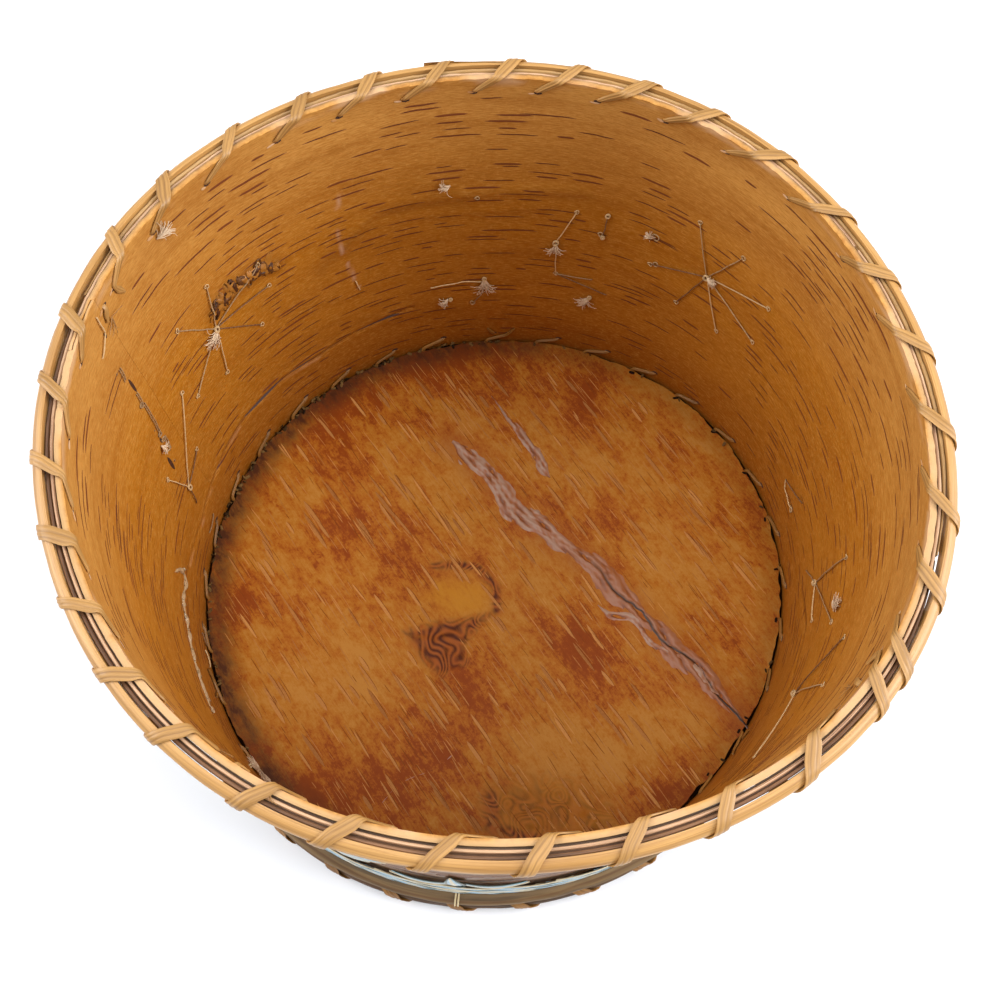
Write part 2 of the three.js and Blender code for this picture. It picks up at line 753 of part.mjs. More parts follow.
// A knot on the wall's inner face with a straight thread to each of its stitch holes.
function makeThreads({ angle, heightShare, legAngles, reachShares }) {
  const z = heightShare * box.height;
  const middle = at(angle, z, -clearance - thread.knotRadius);
  const knot = new Skin();
  const round = new THREE.IcosahedronGeometry(thread.knotRadius, 0).getAttribute('position');
  const corner = (i) => new THREE.Vector3().fromBufferAttribute(round, i).add(middle);
  for (let i = 0; i < round.count; i += 3) {
    knot.face(corner(i), corner(i + 1), corner(i + 2));
  }
  const tipOut = -clearance - thread.width;
  const strands = legAngles.map((leg, i) => {
    const reach = reachShares[i] * thread.reach;
    const up = reach * Math.sin(radians(leg));
    const across = spread(reach * Math.cos(radians(leg)), z);
    return strand(middle, at(angle + across, z + up, tipOut), thread.width);
  });
  return geometryOf(library.Manifold.union([knot.solid(), ...strands]));
}

const model = new THREE.Group();

function add(name, geometry, look) {
  const material = new THREE.MeshStandardMaterial({ ...look, metalness: 0, flatShading: true });
  const mesh = new THREE.Mesh(geometry, material);
  mesh.name = name;
  model.add(mesh);
}

add('wall_sheet', makeWall(), looks.innerBark);
add('bottom_disc', makeDisc(), looks.discBark);
add('rim_band', makeBand(), looks.layeredBark);
const splintGap = spread(clearance, box.height);
const nearSplint = {
  startAngle: farSplint.endAngle + splintGap,
  endAngle: farSplint.startAngle + turn - splintGap,
};
add('rim_splint_far', makeSplint(farSplint), looks.splintWood);
add('rim_splint_near', makeSplint(nearSplint), looks.splintWood);
add('rim_hoop', halfRoundHoop(hoop, hoopInner, hoopBottom).geometry(), looks.hoopWood);
rimHoleAngles.forEach((holes, i) => {
  const name = `rim_lashing_${i + 1}`;
  add(name, lash(name, holes, rimLoop(), rimTails(), 1).geometry(), looks.root);
});
add('base_hoop_lower', halfRoundHoop(lowerHoop, footInner, lowerHoopBottom).geometry(), looks.oldHoopWood);
add('base_hoop_upper', halfRoundHoop(upperHoop, footInner, upperHoopBottom).geometry(), looks.paleHoopWood);
footHoleAngles.forEach((holes, i) => {
  const name = `base_lashing_${i + 1}`;
  add(name, lash(name, holes, footLoop(), footTails(), -1).geometry(), looks.oldRoot);
});
tieAngles.forEach((angle, i) => {
  add(`hoop_tie_${i + 1}`, makeTie(angle).geometry(), looks.sinew);
});
add('seam_stitch', makeSeamStitch().geometry(), looks.thread);
add('quill_band', makeQuillBand(), looks.quill);
flowers.forEach((place, i) => {
  add(`quill_flower_${i + 1}`, makeFlower(place), looks.quill);
});
[...threadSprays, nearSprig].forEach((spray, i) => {
  add(`quill_sprig_${i + 1}`, makeSprig(spray), looks.quill);
});
threadStars.forEach((star, i) => {
  add(`thread_star_${i + 1}`, makeThreads(star), looks.thread);
});
threadSprays.forEach((spray, i) => {
  add(`thread_spray_${i + 1}`, makeThreads(spray), looks.thread);
});

export default model;
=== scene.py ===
from collections import namedtuple
from functools import partial

import bpy
import numpy as np
from bpy.props import FloatProperty, FloatVectorProperty, PointerProperty
from bpy.types import Operator, Panel, PropertyGroup
from mathutils import Matrix, Vector


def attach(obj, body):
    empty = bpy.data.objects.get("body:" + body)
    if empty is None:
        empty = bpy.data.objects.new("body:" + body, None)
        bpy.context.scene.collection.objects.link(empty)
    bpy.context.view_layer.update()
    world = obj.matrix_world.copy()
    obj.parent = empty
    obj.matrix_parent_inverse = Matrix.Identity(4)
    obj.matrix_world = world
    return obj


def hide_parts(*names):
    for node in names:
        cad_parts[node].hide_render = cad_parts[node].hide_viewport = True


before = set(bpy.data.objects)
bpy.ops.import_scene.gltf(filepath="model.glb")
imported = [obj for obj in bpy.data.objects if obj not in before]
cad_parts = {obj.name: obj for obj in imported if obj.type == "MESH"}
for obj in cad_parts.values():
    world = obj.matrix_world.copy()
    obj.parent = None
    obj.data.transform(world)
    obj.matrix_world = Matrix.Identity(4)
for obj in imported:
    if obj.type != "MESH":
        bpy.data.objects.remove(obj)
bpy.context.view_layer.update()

bl_info = {
    "name": "Birch Bark Box",
    "version": (1, 0, 0),
    "blender": (4, 5, 0),
    "location": "View3D > Sidebar > Bark Box",
    "description": "Builds a round birch bark box bound with split root, on its packed frame",
    "category": "Add Mesh",
}

# Lengths in the shape functions are millimetres and angles are degrees, counted from +X towards +Y.
# "out" is how far a point lies outside the wall's inner face.
MM = 0.001
FULL_TURN = 6.283
# About how many millimetres one degree is round the wall, and the radius to which that belongs
ARC, MEAN_RADIUS = 1.9, 108
# Middle of the rim, how far the foot's middle lies from it, and waves of both as count, depth and phase
CENTRE, LEAN = (0.316, -0.615), (3.2, -3.6)
RIM_WAVES = ((2, 1.8, 174), (3, 0.7, 79), (4, 0.9, -27))
FOOT_WAVES = ((2, 2.0, 42), (3, 1.0, 29))
# Where the sheet's ends lap, and how far out the pared inner end reaches and the pared outer end starts
LAP_START, LAP_ANGLE, LAP_GAP = 167.6, 8.0, 0.15
LAP_INNER, LAP_OUTER = 0.75, 1.05
Hoop = namedtuple("Hoop", "inner thickness bottom height start lap")
LOWER_HOOP = Hoop(2.1, 5.0, 1.6, 5.2, 202, 15)
UPPER_HOOP = Hoop(2.1, 4.6, 9.3, 5.0, 22, 15)
RIM_HOOP = Hoop(4.9, 3.0, 131.4, 4.4, 91, 14)
BAND_INNER, HOOP_TOP = 2.1, 135.8
# Heights of the root's holes in the wall, and how far the root's middle rides off what it lies on
RIM_SLOT, FOOT_SLOT = 130.75, 7.45
ROOT_RIDE = 0.5
DISC_TOP = 3.6
# Direction of the bottom's dashes and grain, and the middle of the field that the dashes fill
DASH_LEAN, DASH_MIDDLE = -51, (3.5, -4.2)
# Angles of the holes of the three lengths of root at the rim; those at the foot have an even pitch
RIM_RUNS = (
    (330.5, 320.5, 307, 296, 284, 273.5, 261, 249.5, 239.6),
    (236.4, 227.4, 217, 206.8, 197.6, 187.2, 175.8, 166.8),
    (163.6, 153.7, 142.5, 130, 119.4, 109, 97.8, 88.1, 78.4, 67.7, 56.9, 44.9, 32.5, 21.9, 9.7,
     -2.4, -13.9, -23.9, -34.5),
)
FOOT_START, FOOT_STEP, FOOT_LOOPS = 91.3, 3.2, (11, 11, 10)
FOOT_PITCH = (360 - 3 * FOOT_STEP) / sum(FOOT_LOOPS)


def linear(code):
    """An sRGB hex colour as linear red, green and blue."""
    part = np.array([int(code[i:i + 2], 16) for i in (1, 3, 5)]) / 255
    return tuple(np.where(part <= 0.04045, part / 12.92, ((part + 0.055) / 1.055) ** 2.4))


def length(name, description, millimetres):
    """A length that the panel shows, given in millimetres."""
    return FloatProperty(name=name, description=description, default=millimetres * MM, min=0,
                         precision=4, subtype="DISTANCE", unit="LENGTH")


def colour(name, description, code):
    """A colour that the panel shows, given as sRGB hex."""
    return FloatVectorProperty(name=name, description=description, default=linear(code), min=0, max=1,
                               subtype="COLOR", size=3)


class BarkBoxSizes(PropertyGroup):
    """Lengths of the box and of what it is bound with."""
    height: length("Height", "Height of the bark wall", 136)
    rim_radius: length("Rim radius", "Radius of the wall's inner face at the rim", 112.5)
    foot_radius: length("Foot radius", "Radius of the wall's inner face at the foot", 102.5)
    wall: length("Wall", "Thickness of the bark wall", 1.8)
    disc: length("Bottom", "Thickness of the bark bottom", 2)
    root_width: length("Root width", "Width of the split root", 3.5)
    root_thickness: length("Root thickness", "Thickness of the split root", 0.7)
    thread: length("Thread", "Thickness of the sewing thread", 0.42)
    quill: length("Quill", "Width of a flattened quill", 1.7)
    dash: length("Pore dash", "Usual length of a pore dash in the bark", 13)


class BarkBoxColours(PropertyGroup):
    """Colours of the bark, wood, root, thread, quill and glue."""
    bark: colour("Bark", "Inner face of the bark wall", "#B5761E")
    # bark_deep and bark_pale also paint the wall darker at the foot and paler at the top: partly painted
    # shade and light
    bark_pale: colour("Pale bark", "Worn and upper parts of the wall", "#D09A50")
    bark_deep: colour("Deep bark", "Grain and stains of the wall", "#8F5008")
    dash: colour("Pore dash", "Dark pore dashes of the wall", "#5C290C")
    # outer_bark is darker than the bark's own outer face: painted shade, for where it lies under the rim
    outer_bark: colour("Outer bark", "Outer face of the wall", "#543A24")
    disc: colour("Bottom bark", "Ground colour of the bottom", "#A66016")
    disc_red: colour("Red patches", "Red-brown patches of the bottom", "#8A4008")
    disc_ochre: colour("Ochre patches", "Ochre patches of the bottom", "#AC6E20")
    disc_pale: colour("Pale dashes", "Pale dashes of the bottom", "#C08848")
    layers: colour("Bark layers", "Layered band at the rim", "#D4AE88")
    splint: colour("Splint", "Thin splints at the rim", "#C29A60")
    hoop: colour("Rim hoop", "Peeled hoop at the rim", "#C8995A")
    lower_hoop: colour("Lower hoop", "Dark hoop at the foot", "#664626")
    upper_hoop: colour("Upper hoop", "Paler hoop at the foot", "#80633C")
    root: colour("Root", "Split root at the rim", "#BA8C50")
    old_root: colour("Old root", "Split root at the foot", "#9C6C2E")
    thread_pale: colour("Pale thread", "Sewing thread and its fibres", "#D6B685")
    thread_dark: colour("Dark thread", "Dark lengths of the thread", "#5C3114")
    quill_blue: colour("Blue quill", "Pale blue quills", "#92B2C2")
    quill_green: colour("Green quill", "Dark green quills", "#1E3C2E")
    quill_cream: colour("Cream quill", "Undyed quills", "#C8BA98")
    glue: colour("Glue", "Old glue on the crack and the seams", "#98592E")


def size(name):
    """One of the panel's lengths, in millimetres."""
    return getattr(bpy.context.scene.bark_box_sizes, name) / MM


def paint(name):
    """A colour with full alpha: one of the panel's by its name, or an sRGB hex value."""
    return (*(linear(name) if name[0] == "#" else getattr(bpy.context.scene.bark_box_colours, name)), 1)


# Shape functions

def bulge(waves, angle):
    """How far an end of the box is out of round: the sum of depth times cos(count times (angle - phase))."""
    return sum(depth * np.cos(count * np.radians(angle - phase)) for count, depth, phase in waves)


def turned(angle, along=1.0, across=0.0):
    """x and y of a step along and across the direction that lies angle degrees from +X."""
    cos, sin = np.cos(np.radians(angle)), np.sin(np.radians(angle))
    return along * cos - across * sin, along * sin + across * cos


def place(angle, z, out=0.0):
    """Points on the wall's cone. The radius runs from foot to rim in proportion to the height, plus out."""
    angle, z, out = np.broadcast_arrays(np.asarray(angle, float), z, out)
    share = z / size("height")
    radius = (1 - share) * (size("foot_radius") + bulge(FOOT_WAVES, angle))
    radius = radius + share * (size("rim_radius") + bulge(RIM_WAVES, angle)) + out
    x, y = turned(angle, radius)
    return np.stack([CENTRE[0] + LEAN[0] * (1 - share) + x, CENTRE[1] + LEAN[1] * (1 - share) + y, z], -1)


def ramp(value, low, high):
    """0 below low, 1 above high and a smooth step between; low may be the greater."""
    t = np.clip((value - low) / (high - low), 0, 1)
    return t * t * (3 - 2 * t)


def unit(vector):
    """Vectors brought to length 1."""
    return vector / np.maximum(np.linalg.norm(vector, axis=-1, keepdims=True), 1e-9)


def ripple(fields, wavelength, seed, count=7):
    """A soft field of about -1 to 1 over coordinates: the sum of plane waves with seeded directions, lengths
    and starts."""
    rng = np.random.default_rng(seed)
    aims = unit(rng.normal(size=(count, len(fields))))
    total = 0
    for aim, start, scale in zip(aims, rng.uniform(0, FULL_TURN, count), rng.uniform(0.7, 1.5, count)):
        along = sum(a * f for a, f in zip(aim, fields))
        total = total + np.sin(FULL_TURN / (wavelength * scale) * along + start)
    return total / np.sqrt(count)


def ringwise(angle):
    """Level coordinates round the wall, so that a ripple over them meets itself after a full turn."""
    return turned(angle, MEAN_RADIUS)


def near(u, v, line, width):
    """exp(-(distance from (u, v) to the broken line / width) squared)."""
    line = np.asarray(line, float)
    start, step = line[:-1], np.diff(line, axis=0)
    point = np.stack(np.broadcast_arrays(u, v), -1)[..., None, :]
    along = np.clip(((point - start) * step).sum(-1) / (step * step).sum(-1), 0, 1)
    gap = np.linalg.norm(point - start - along[..., None] * step, axis=-1).min(-1)
    return np.exp(-(gap / width) ** 2)


def within(x, y, outline, soft):
    """1 inside the closed broken line and 0 outside, softened over its edge: the even-odd rule."""
    line = np.asarray(outline, float)
    (ax, ay), (bx, by) = line[:-1].T, line[1:].T
    u, v = x[..., None], y[..., None]
    crossed = ((ay > v) != (by > v)) & (u < (bx - ax) * (v - ay) / (by - ay + 1e-9) + ax)
    edge = near(x, y, line, soft) / 2
    return np.where(crossed.sum(-1) % 2 == 1, 1 - edge, edge)


# Marks of the bark, as (angle, height) on the wall and (x, y) on the bottom
CREASE = ((112, 30), (119, 27.5), (127, 26), (133, 24.6), (141.5, 26), (153, 26), (160, 24.5), (167, 22),
          (174, 19), (184, 23))
RIDGE = ((123, 73), (119, 80), (115, 86), (104, 86), (94, 87), (79, 90))
SECOND_RIDGE = ((120, 80), (106, 78), (96, 77.6), (86, 80))
STAIN = ((128, 68), (122, 77), (117, 81), (108, 83), (100, 82.5))
WALL_KNOT = ((149.5, 84), (145.8, 86), (142.4, 85.6), (139.4, 85), (136, 82))
WHITE_SCAR = ((121, 106), (123.5, 85), (123.3, 72), (121.6, 51))
GLUE_RUN = ((188.8, 38.4), (187, 33), (186.9, 28), (188.6, 25.5), (191.5, 29.5), (193.5, 30), (196.3, 26.7),
            (203, 28.4), (210, 28.7), (214, 31))
SIDE_CRACK = ((360, 24), (351, 34.5), (344, 35.5), (338, 39))
DISC_CRACK = ((-17, 52), (-10, 46.5), (-3, 40), (7, 28), (13, 22.5), (27.5, 14), (41, 4), (52, -7.5),
              (64, -18.5), (76.5, -30), (89, -43), (94, -49))
SECOND_GLUE = ((-3.7, 72.3), (2, 65), (12, 53), (20.6, 39.7))
SIDE_GLUE = ((40, -8), (44.4, -11.6), (51.2, -12.6), (63.9, -22.3), (78.8, -32.7), (84, -38))
HONEY = ((-21.7, -10.5), (-17, -2.6), (-6.4, -1), (0.4, -5.7), (-0.1, -13.3), (-10.5, -16.3), (-21.7, -10.5))
HONEY_EDGE = ((-19, 2), (-11, 3), (-4, 2.6), (3.5, -4), (4.5, -13))
KNOT = ((-27.6, -23.2), (-17, -19.5), (-6, -17), (1.8, -14.6), (-6.9, -26.7), (-4.6, -33), (-12.9, -38.3),
        (-20.4, -32.4), (-27.6, -23.2))
FAR_KNOT = ((7, -78.8), (12.7, -73.4), (22.8, -72.6), (36.4, -73.3), (46.8, -80.9), (43.7, -88), (25, -92),
            (8.8, -89.2), (7, -78.8))
SCRATCH = ((-34.8, -86.8), (-19, -74), (-1.8, -60.9))
# Patches of the bottom, as x, y and size
RED_PATCHES = ((-34, 80, 1), (-69, 70, 0.8), (-60, 49, 1), (-53, 14, 0.8), (-34, 4, 0.7), (-83, -15, 0.7),
               (41, -28, 1), (27, -21, 0.8), (72, -72, 0.8), (59, -74, 0.8), (-3, -42, 0.9), (-34, -84, 1.5),
               (-52, -78, 0.8), (-8, -66, 1), (39, 25, 0.8), (2, 84, 1), (-20, 88, 1), (30, 78, 0.9),
               (-60, 66, 0.8))
OCHRE_PATCHES = ((-47, -27, 1.6), (-54, -52, 1.2), (20, -2, 1), (60, -58, 1.3), (24, -60, 1), (39, 41, 1.2),
                 (-20, 28, 1), (66, 10, 1), (74, -50, 1.2), (44, -66, 1))


def on_wall(line):
    """A line of (angle, height) as (arc length, height)."""
    return np.asarray(line, float) * (ARC, 1)


def marked(angle, z, *marks):
    """The sum of weight times nearness over lines on the wall, given as (line, rise, width, weight)."""
    arc = angle % 360 * ARC
    return sum(weight * near(arc, z - rise, on_wall(line), width) for line, rise, width, weight in marks)


def painted_light_by_side(angle):
    """How strongly painted light shows at an angle of the rim, as shade in the strips' recesses and highlight
    on the wall's top edge: 0.3 at the far side, 1 at the left and near.
    """
    return 0.3 + 0.7 * ramp(np.sin(np.radians(angle)), 0.6, -0.1)


def relief(angle, z):
    """How far the bark wall waves outwards: two soft fields and the ridges, none at the foot and the rim."""
    round_it = ringwise(angle)
    wave = 0.4 * ripple((*round_it, 1.4 * z), 85, 3) + 0.12 * ripple((*round_it, z), 26, 4)
    wave = wave + marked(angle, z, (RIDGE, 0, 2.2, -0.55), (SECOND_RIDGE, 0, 2.0, -0.3))
    return wave * ramp(z, 7, 20) * ramp(z, 129, 119)


def inner_marks(angle, z):
    """How far the inner face alone stands back: the crease and crack as grooves, the knot as a curl."""
    groove = marked(angle, z, (CREASE, 0, 0.9, 0.9), (CREASE, 2.4, 1.6, -0.5), (SIDE_CRACK, 0, 0.9, 0.5),
                    (WHITE_SCAR, 0, 0.8, 0.12))
    curl = marked(angle, z, (WALL_KNOT, 0, 1.6, 1))
    return groove - 0.9 * curl + 0.7 * curl ** 4


def inside(angle, z, out=0.0):
    """Points on the wall's own inner face, waves and marks included; out is counted from it."""
    angle, z = np.broadcast_arrays(np.asarray(angle, float), z)
    return place(angle, z, relief(angle, z) + inner_marks(angle, z) + out)


def disc_height(x, y):
    """Height of the bottom's upper face: soft waves, a low swelling along the crack, uneven knots."""
    knots = within(x, y, KNOT, 2) + within(x, y, FAR_KNOT, 3)
    height = 0.22 * ripple((x, y), 46, 22) + 0.06 * ripple((x, y), 9, 23)
    return DISC_TOP + height + 0.25 * near(x, y, DISC_CRACK, 5) + 0.25 * knots * ripple((x, y), 5, 29, 9)


# Mesh building

def shell(rows, closed=False, **marks):
    """A family of tubes: rows holds tube, ring, point and coordinate, and tube may be left out for one alone.
    A mark is one value, one for each tube or one for each ring and point; surface holds vectors."""
    rows = np.asarray(rows, float)
    rows = rows if rows.ndim == 4 else rows[None]
    for key, value in marks.items():
        vector = (3,) if key == "surface" else ()
        value = np.asarray(value, float)
        value = value[:, None, None] if value.ndim == 1 and not vector else value
        marks[key] = np.broadcast_to(value, rows.shape[:3] + vector)
    return rows, closed, marks


def shell_faces(rows, closed, start):
    """Corners of a family's quads and end caps, turned so that every tube encloses a positive volume."""
    tubes, rings, points = rows.shape[:3]
    ring, side = np.arange(rings if closed else rings - 1)[:, None], np.arange(points)
    following, beside = (ring + 1) % rings, (side + 1) % points
    quads = np.stack([ring * points + side, following * points + side, following * points + beside,
                      ring * points + beside], -1).reshape(-1, 4)
    flat = rows.reshape(tubes, -1, 3)
    flat = flat - flat.mean(1, keepdims=True)
    a, b, c, d = (flat[:, quads[:, i]] for i in range(4))
    volume = (np.cross(a, b) * c).sum((1, 2)) + (np.cross(a, c) * d).sum((1, 2))
    caps = [] if closed else [np.stack([side, side[::-1] + (rings - 1) * points])]
    offset = start + np.arange(tubes)[:, None, None] * rings * points
    flip = volume[:, None, None] < 0
    return [(np.where(flip, corners[:, ::-1], corners) + offset).reshape(-1, corners.shape[1])
            for corners in (quads, *caps)]


def make_piece(name, shells, material, slot, *nodes, crease=40):
    """Makes one mesh of families of tubes, in metres, with their marks as attributes, and seats the piece."""
    faces, start = [], 0
    for rows, closed, _ in shells:
        faces += shell_faces(rows, closed, start)
        start += rows[..., 0].size
    counts = np.concatenate([np.full(len(f), f.shape[1]) for f in faces])
    mesh = bpy.data.meshes.new(name)
    mesh.vertices.add(start)
    mesh.vertices.foreach_set("co", np.concatenate([rows.ravel() for rows, *_ in shells]) * MM)
    mesh.loops.add(int(counts.sum()))
    mesh.loops.foreach_set("vertex_index", np.concatenate([f.ravel() for f in faces]).astype(np.int32))
    mesh.polygons.add(len(counts))
    mesh.polygons.foreach_set("loop_start", (np.cumsum(counts) - counts).astype(np.int32))
    for key in sorted({key for *_, marks in shells for key in marks}):
        kind, field, width = ("FLOAT_VECTOR", "vector", 3) if key == "surface" else ("FLOAT", "value", 1)
        values = [marks[key].ravel() if key in marks else np.zeros(rows[..., 0].size * width)
                  for rows, _, marks in shells]
        layer = mesh.attributes.new(key, kind, "POINT")
        layer.data.foreach_set(field, np.concatenate(values).astype(np.float32))
    mesh.update(calc_edges=True)
    mesh.validate()
    mesh.shade_smooth()
    mesh.set_sharp_from_angle(angle=np.radians(crease))
    mesh.materials.append(material)
    piece = bpy.data.objects.new(name, mesh)
    bpy.context.scene.collection.objects.link(piece)
    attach(piece, "root")
    if nodes:
        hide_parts(*nodes)


def even_path(points, step, softness=0.0):
    """A broken line resampled at even steps, then averaged over softness millimetres to round its corners."""
    points = np.asarray(points, float)
    run = np.concatenate([[0], np.cumsum(np.linalg.norm(np.diff(points, axis=0), axis=1))])
    stations = np.linspace(0, run[-1], max(int(run[-1] / step), 2) + 1)
    even = np.stack([np.interp(stations, run, column) for column in points.T], -1)
    reach = int(round(softness / step))
    if reach:
        weights = np.hanning(2 * reach + 3)[1:-1]
        padded = np.pad(even, ((reach, reach), (0, 0)), "edge")
        even = np.stack([np.convolve(column, weights / weights.sum(), "valid") for column in padded.T], -1)
    return even


def cords(paths, radius, sides=6, **marks):
    """Round cords along paths (cord, point, coordinate): rings of the given radius square to each path."""
    paths = np.asarray(paths, float)
    paths = paths if paths.ndim == 3 else paths[None]
    along = unit(np.gradient(paths, axis=1))
    hint = np.where(np.abs(along[..., 2:]) > 0.9, (1.0, 0, 0), (0, 0, 1.0))
    across = unit(np.cross(along, hint))
    up = np.cross(across, along)
    turn = np.linspace(0, 2 * np.pi, sides, endpoint=False)[:, None]
    ring = across[:, :, None] * np.cos(turn) + up[:, :, None] * np.sin(turn)
    radius = np.broadcast_to(radius, paths.shape[:2])[..., None, None]
    return shell(paths[:, :, None] + radius * ring, **marks)


def grain_at(*millimetres):
    """Coordinates along the bark, wood or quill in metres, for grain that follows it."""
    return np.stack(np.broadcast_arrays(*millimetres), -1) * MM


# Materials

def add(tree, kind, inputs=(), output=0, stops=(), **settings):
    """Adds a shader node, sets its settings and ramp stops, fills or links its inputs, by name or in order,
    and gives one output. A colour is a name from the panel or a hex value."""
    node = tree.nodes.new("ShaderNode" + kind)
    for key, value in settings.items():
        setattr(node, key, value)
    for i, (position, tint) in enumerate(stops):
        point = node.color_ramp.elements[i] if i < 2 else node.color_ramp.elements.new(position)
        point.position, point.color = position, paint(tint)
    for key, value in inputs.items() if isinstance(inputs, dict) else enumerate(inputs):
        if isinstance(value, bpy.types.NodeSocket):
            tree.links.new(value, node.inputs[key])
        else:
            node.inputs[key].default_value = paint(value) if isinstance(value, str) else value
    return node.outputs[output]


def start_material(name, roughness, **inputs):
    """A material with its principled shader set, and the function that adds nodes to it."""
    material = bpy.data.materials.new(name)
    material.use_nodes = True
    shader = material.node_tree.nodes["Principled BSDF"]
    for key, value in {"Roughness": roughness, **inputs}.items():
        shader.inputs[key.replace("_", " ")].default_value = value
    return material, partial(add, material.node_tree)


def end_material(material, node, tone=None, height=None, strength=0.5, distance=0.2, **links):
    """Links colour, bump and other sockets to the shader. The bump is distance millimetres high."""
    if tone:
        links["Base_Color"] = tone
    if height:
        links["Normal"] = node("Bump", {"Height": height, "Strength": strength, "Distance": distance * MM})
    shader = material.node_tree.nodes["Principled BSDF"]
    for key, socket in links.items():
        material.node_tree.links.new(socket, shader.inputs[key.replace("_", " ")])
    return material


def streaks(node, where, per_metre, detail, rough=0.5, bend=0):
    """Noise stretched to so many features for each metre along each coordinate."""
    drawn = node("Mapping", {"Vector": where, "Scale": per_metre})
    return node("TexNoise", {"Vector": drawn, "Scale": 1, "Detail": detail, "Roughness": rough,
                             "Distortion": bend})


def veiled(node, tone, *veils):
    """A colour with tints over it, as (field, low, high, most, tint): the tint's share goes from 0 to most as
    the field goes from low to high."""
    for field, low, high, most, tint in veils:
        share = node("MapRange", (field, low, high, 0, most))
        tone = node("Mix", {0: share, 6: tone, 7: tint}, 2, data_type="RGBA")
    return tone


def stained(node, tone, *stains, field=0.0, gain=0.0, base=1.0):
    """A colour with tints where marks of the mesh are, as (mark, tint, share), each broken up by gain times
    the field plus base."""
    for mark, tint, share in stains:
        patchy = node("Math", (field, gain * share, base * share), operation="MULTIPLY_ADD")
        amount = node("Attribute", output="Fac", attribute_name=mark)
        share = node("Math", (amount, patchy), operation="MULTIPLY")
        tone = node("Mix", {0: share, 6: tone, 7: tint}, 2, data_type="RGBA")
    return tone


def wall_bark():
    """Inner face of birch bark, peeled and turned inwards: golden brown and waxy, with grain along the wall,
    darker towards the foot and paler towards the rim, partly painted shade and light, pale with wear along
    the rim, reddish round the ridge and knot, with painted shade along the crease and the foot, and a pale
    top edge that is partly a painted highlight. Its outer face is grey brown and papery, darkened as painted
    shade."""
    material, node = start_material("birch_bark_peeled_inner_face", 0.46, Specular_IOR_Level=0.2)
    where = node("Attribute", output="Vector", attribute_name="surface")
    # streaks about 0.3 mm high and 3 mm long, stains about 17 by 45 mm, bands about 5 mm high and 60 mm long
    grain = streaks(node, where, (330, 3000, 600), 3, 0.6)
    cloud = streaks(node, where, (22, 60, 60), 4, 0.62)
    band = streaks(node, where, (16, 190, 60), 3)
    speck = node("TexNoise", {"Vector": where, "Scale": 900, "Detail": 2})
    # darker towards the foot and paler towards the rim: partly painted shade of the light falling off down
    # into the box
    level = node("MapRange", (node("SeparateXYZ", (where,), 1), 0.0, 0.136))
    tone = node("ValToRGB", (level,), stops=(
        (0.0, "bark_deep"), (0.25, "bark"), (0.6, "bark"), (0.95, "bark_pale")))
    tone = veiled(node, tone, (cloud, 0, 1, 0.75, "bark_deep"), (grain, 0.48, 0.68, 0.46, "bark_deep"),
                  (grain, 0.5, 0.32, 0.5, "bark_pale"))
    # the outer face, in outer bark darkened as painted shade
    tone = stained(node, tone, ("back", veiled(node, "outer_bark", (cloud, 0, 1, 1, "#70543A")), 0.86))
    tone = veiled(node, tone, (band, 0.5, 0.7, 0.36, "bark_deep"), (speck, 0.55, 0.75, 0.3, "bark_pale"))
    # the mark tinted with the dash colour is partly painted shade, at the foot and in the crease
    tone = stained(node, tone, ("worn", "#DDBC98", 0.5), ("stain", "dash", 0.62), ("scar", "#C9A58C", 0.55),
                   field=cloud, gain=1.1, base=0.35)
    # edge: the pale cut top of the sheet, partly a painted highlight that is strongest at the near and left
    # side
    tone = stained(node, tone, ("edge", "#C6A070", 0.75))
    height = node("Math", (grain, 0.6, speck), operation="MULTIPLY_ADD")
    shine = node("MapRange", (cloud, 0.3, 0.7, 0.38, 0.6))
    return end_material(material, node, tone, height, 0.35, Roughness=shine)


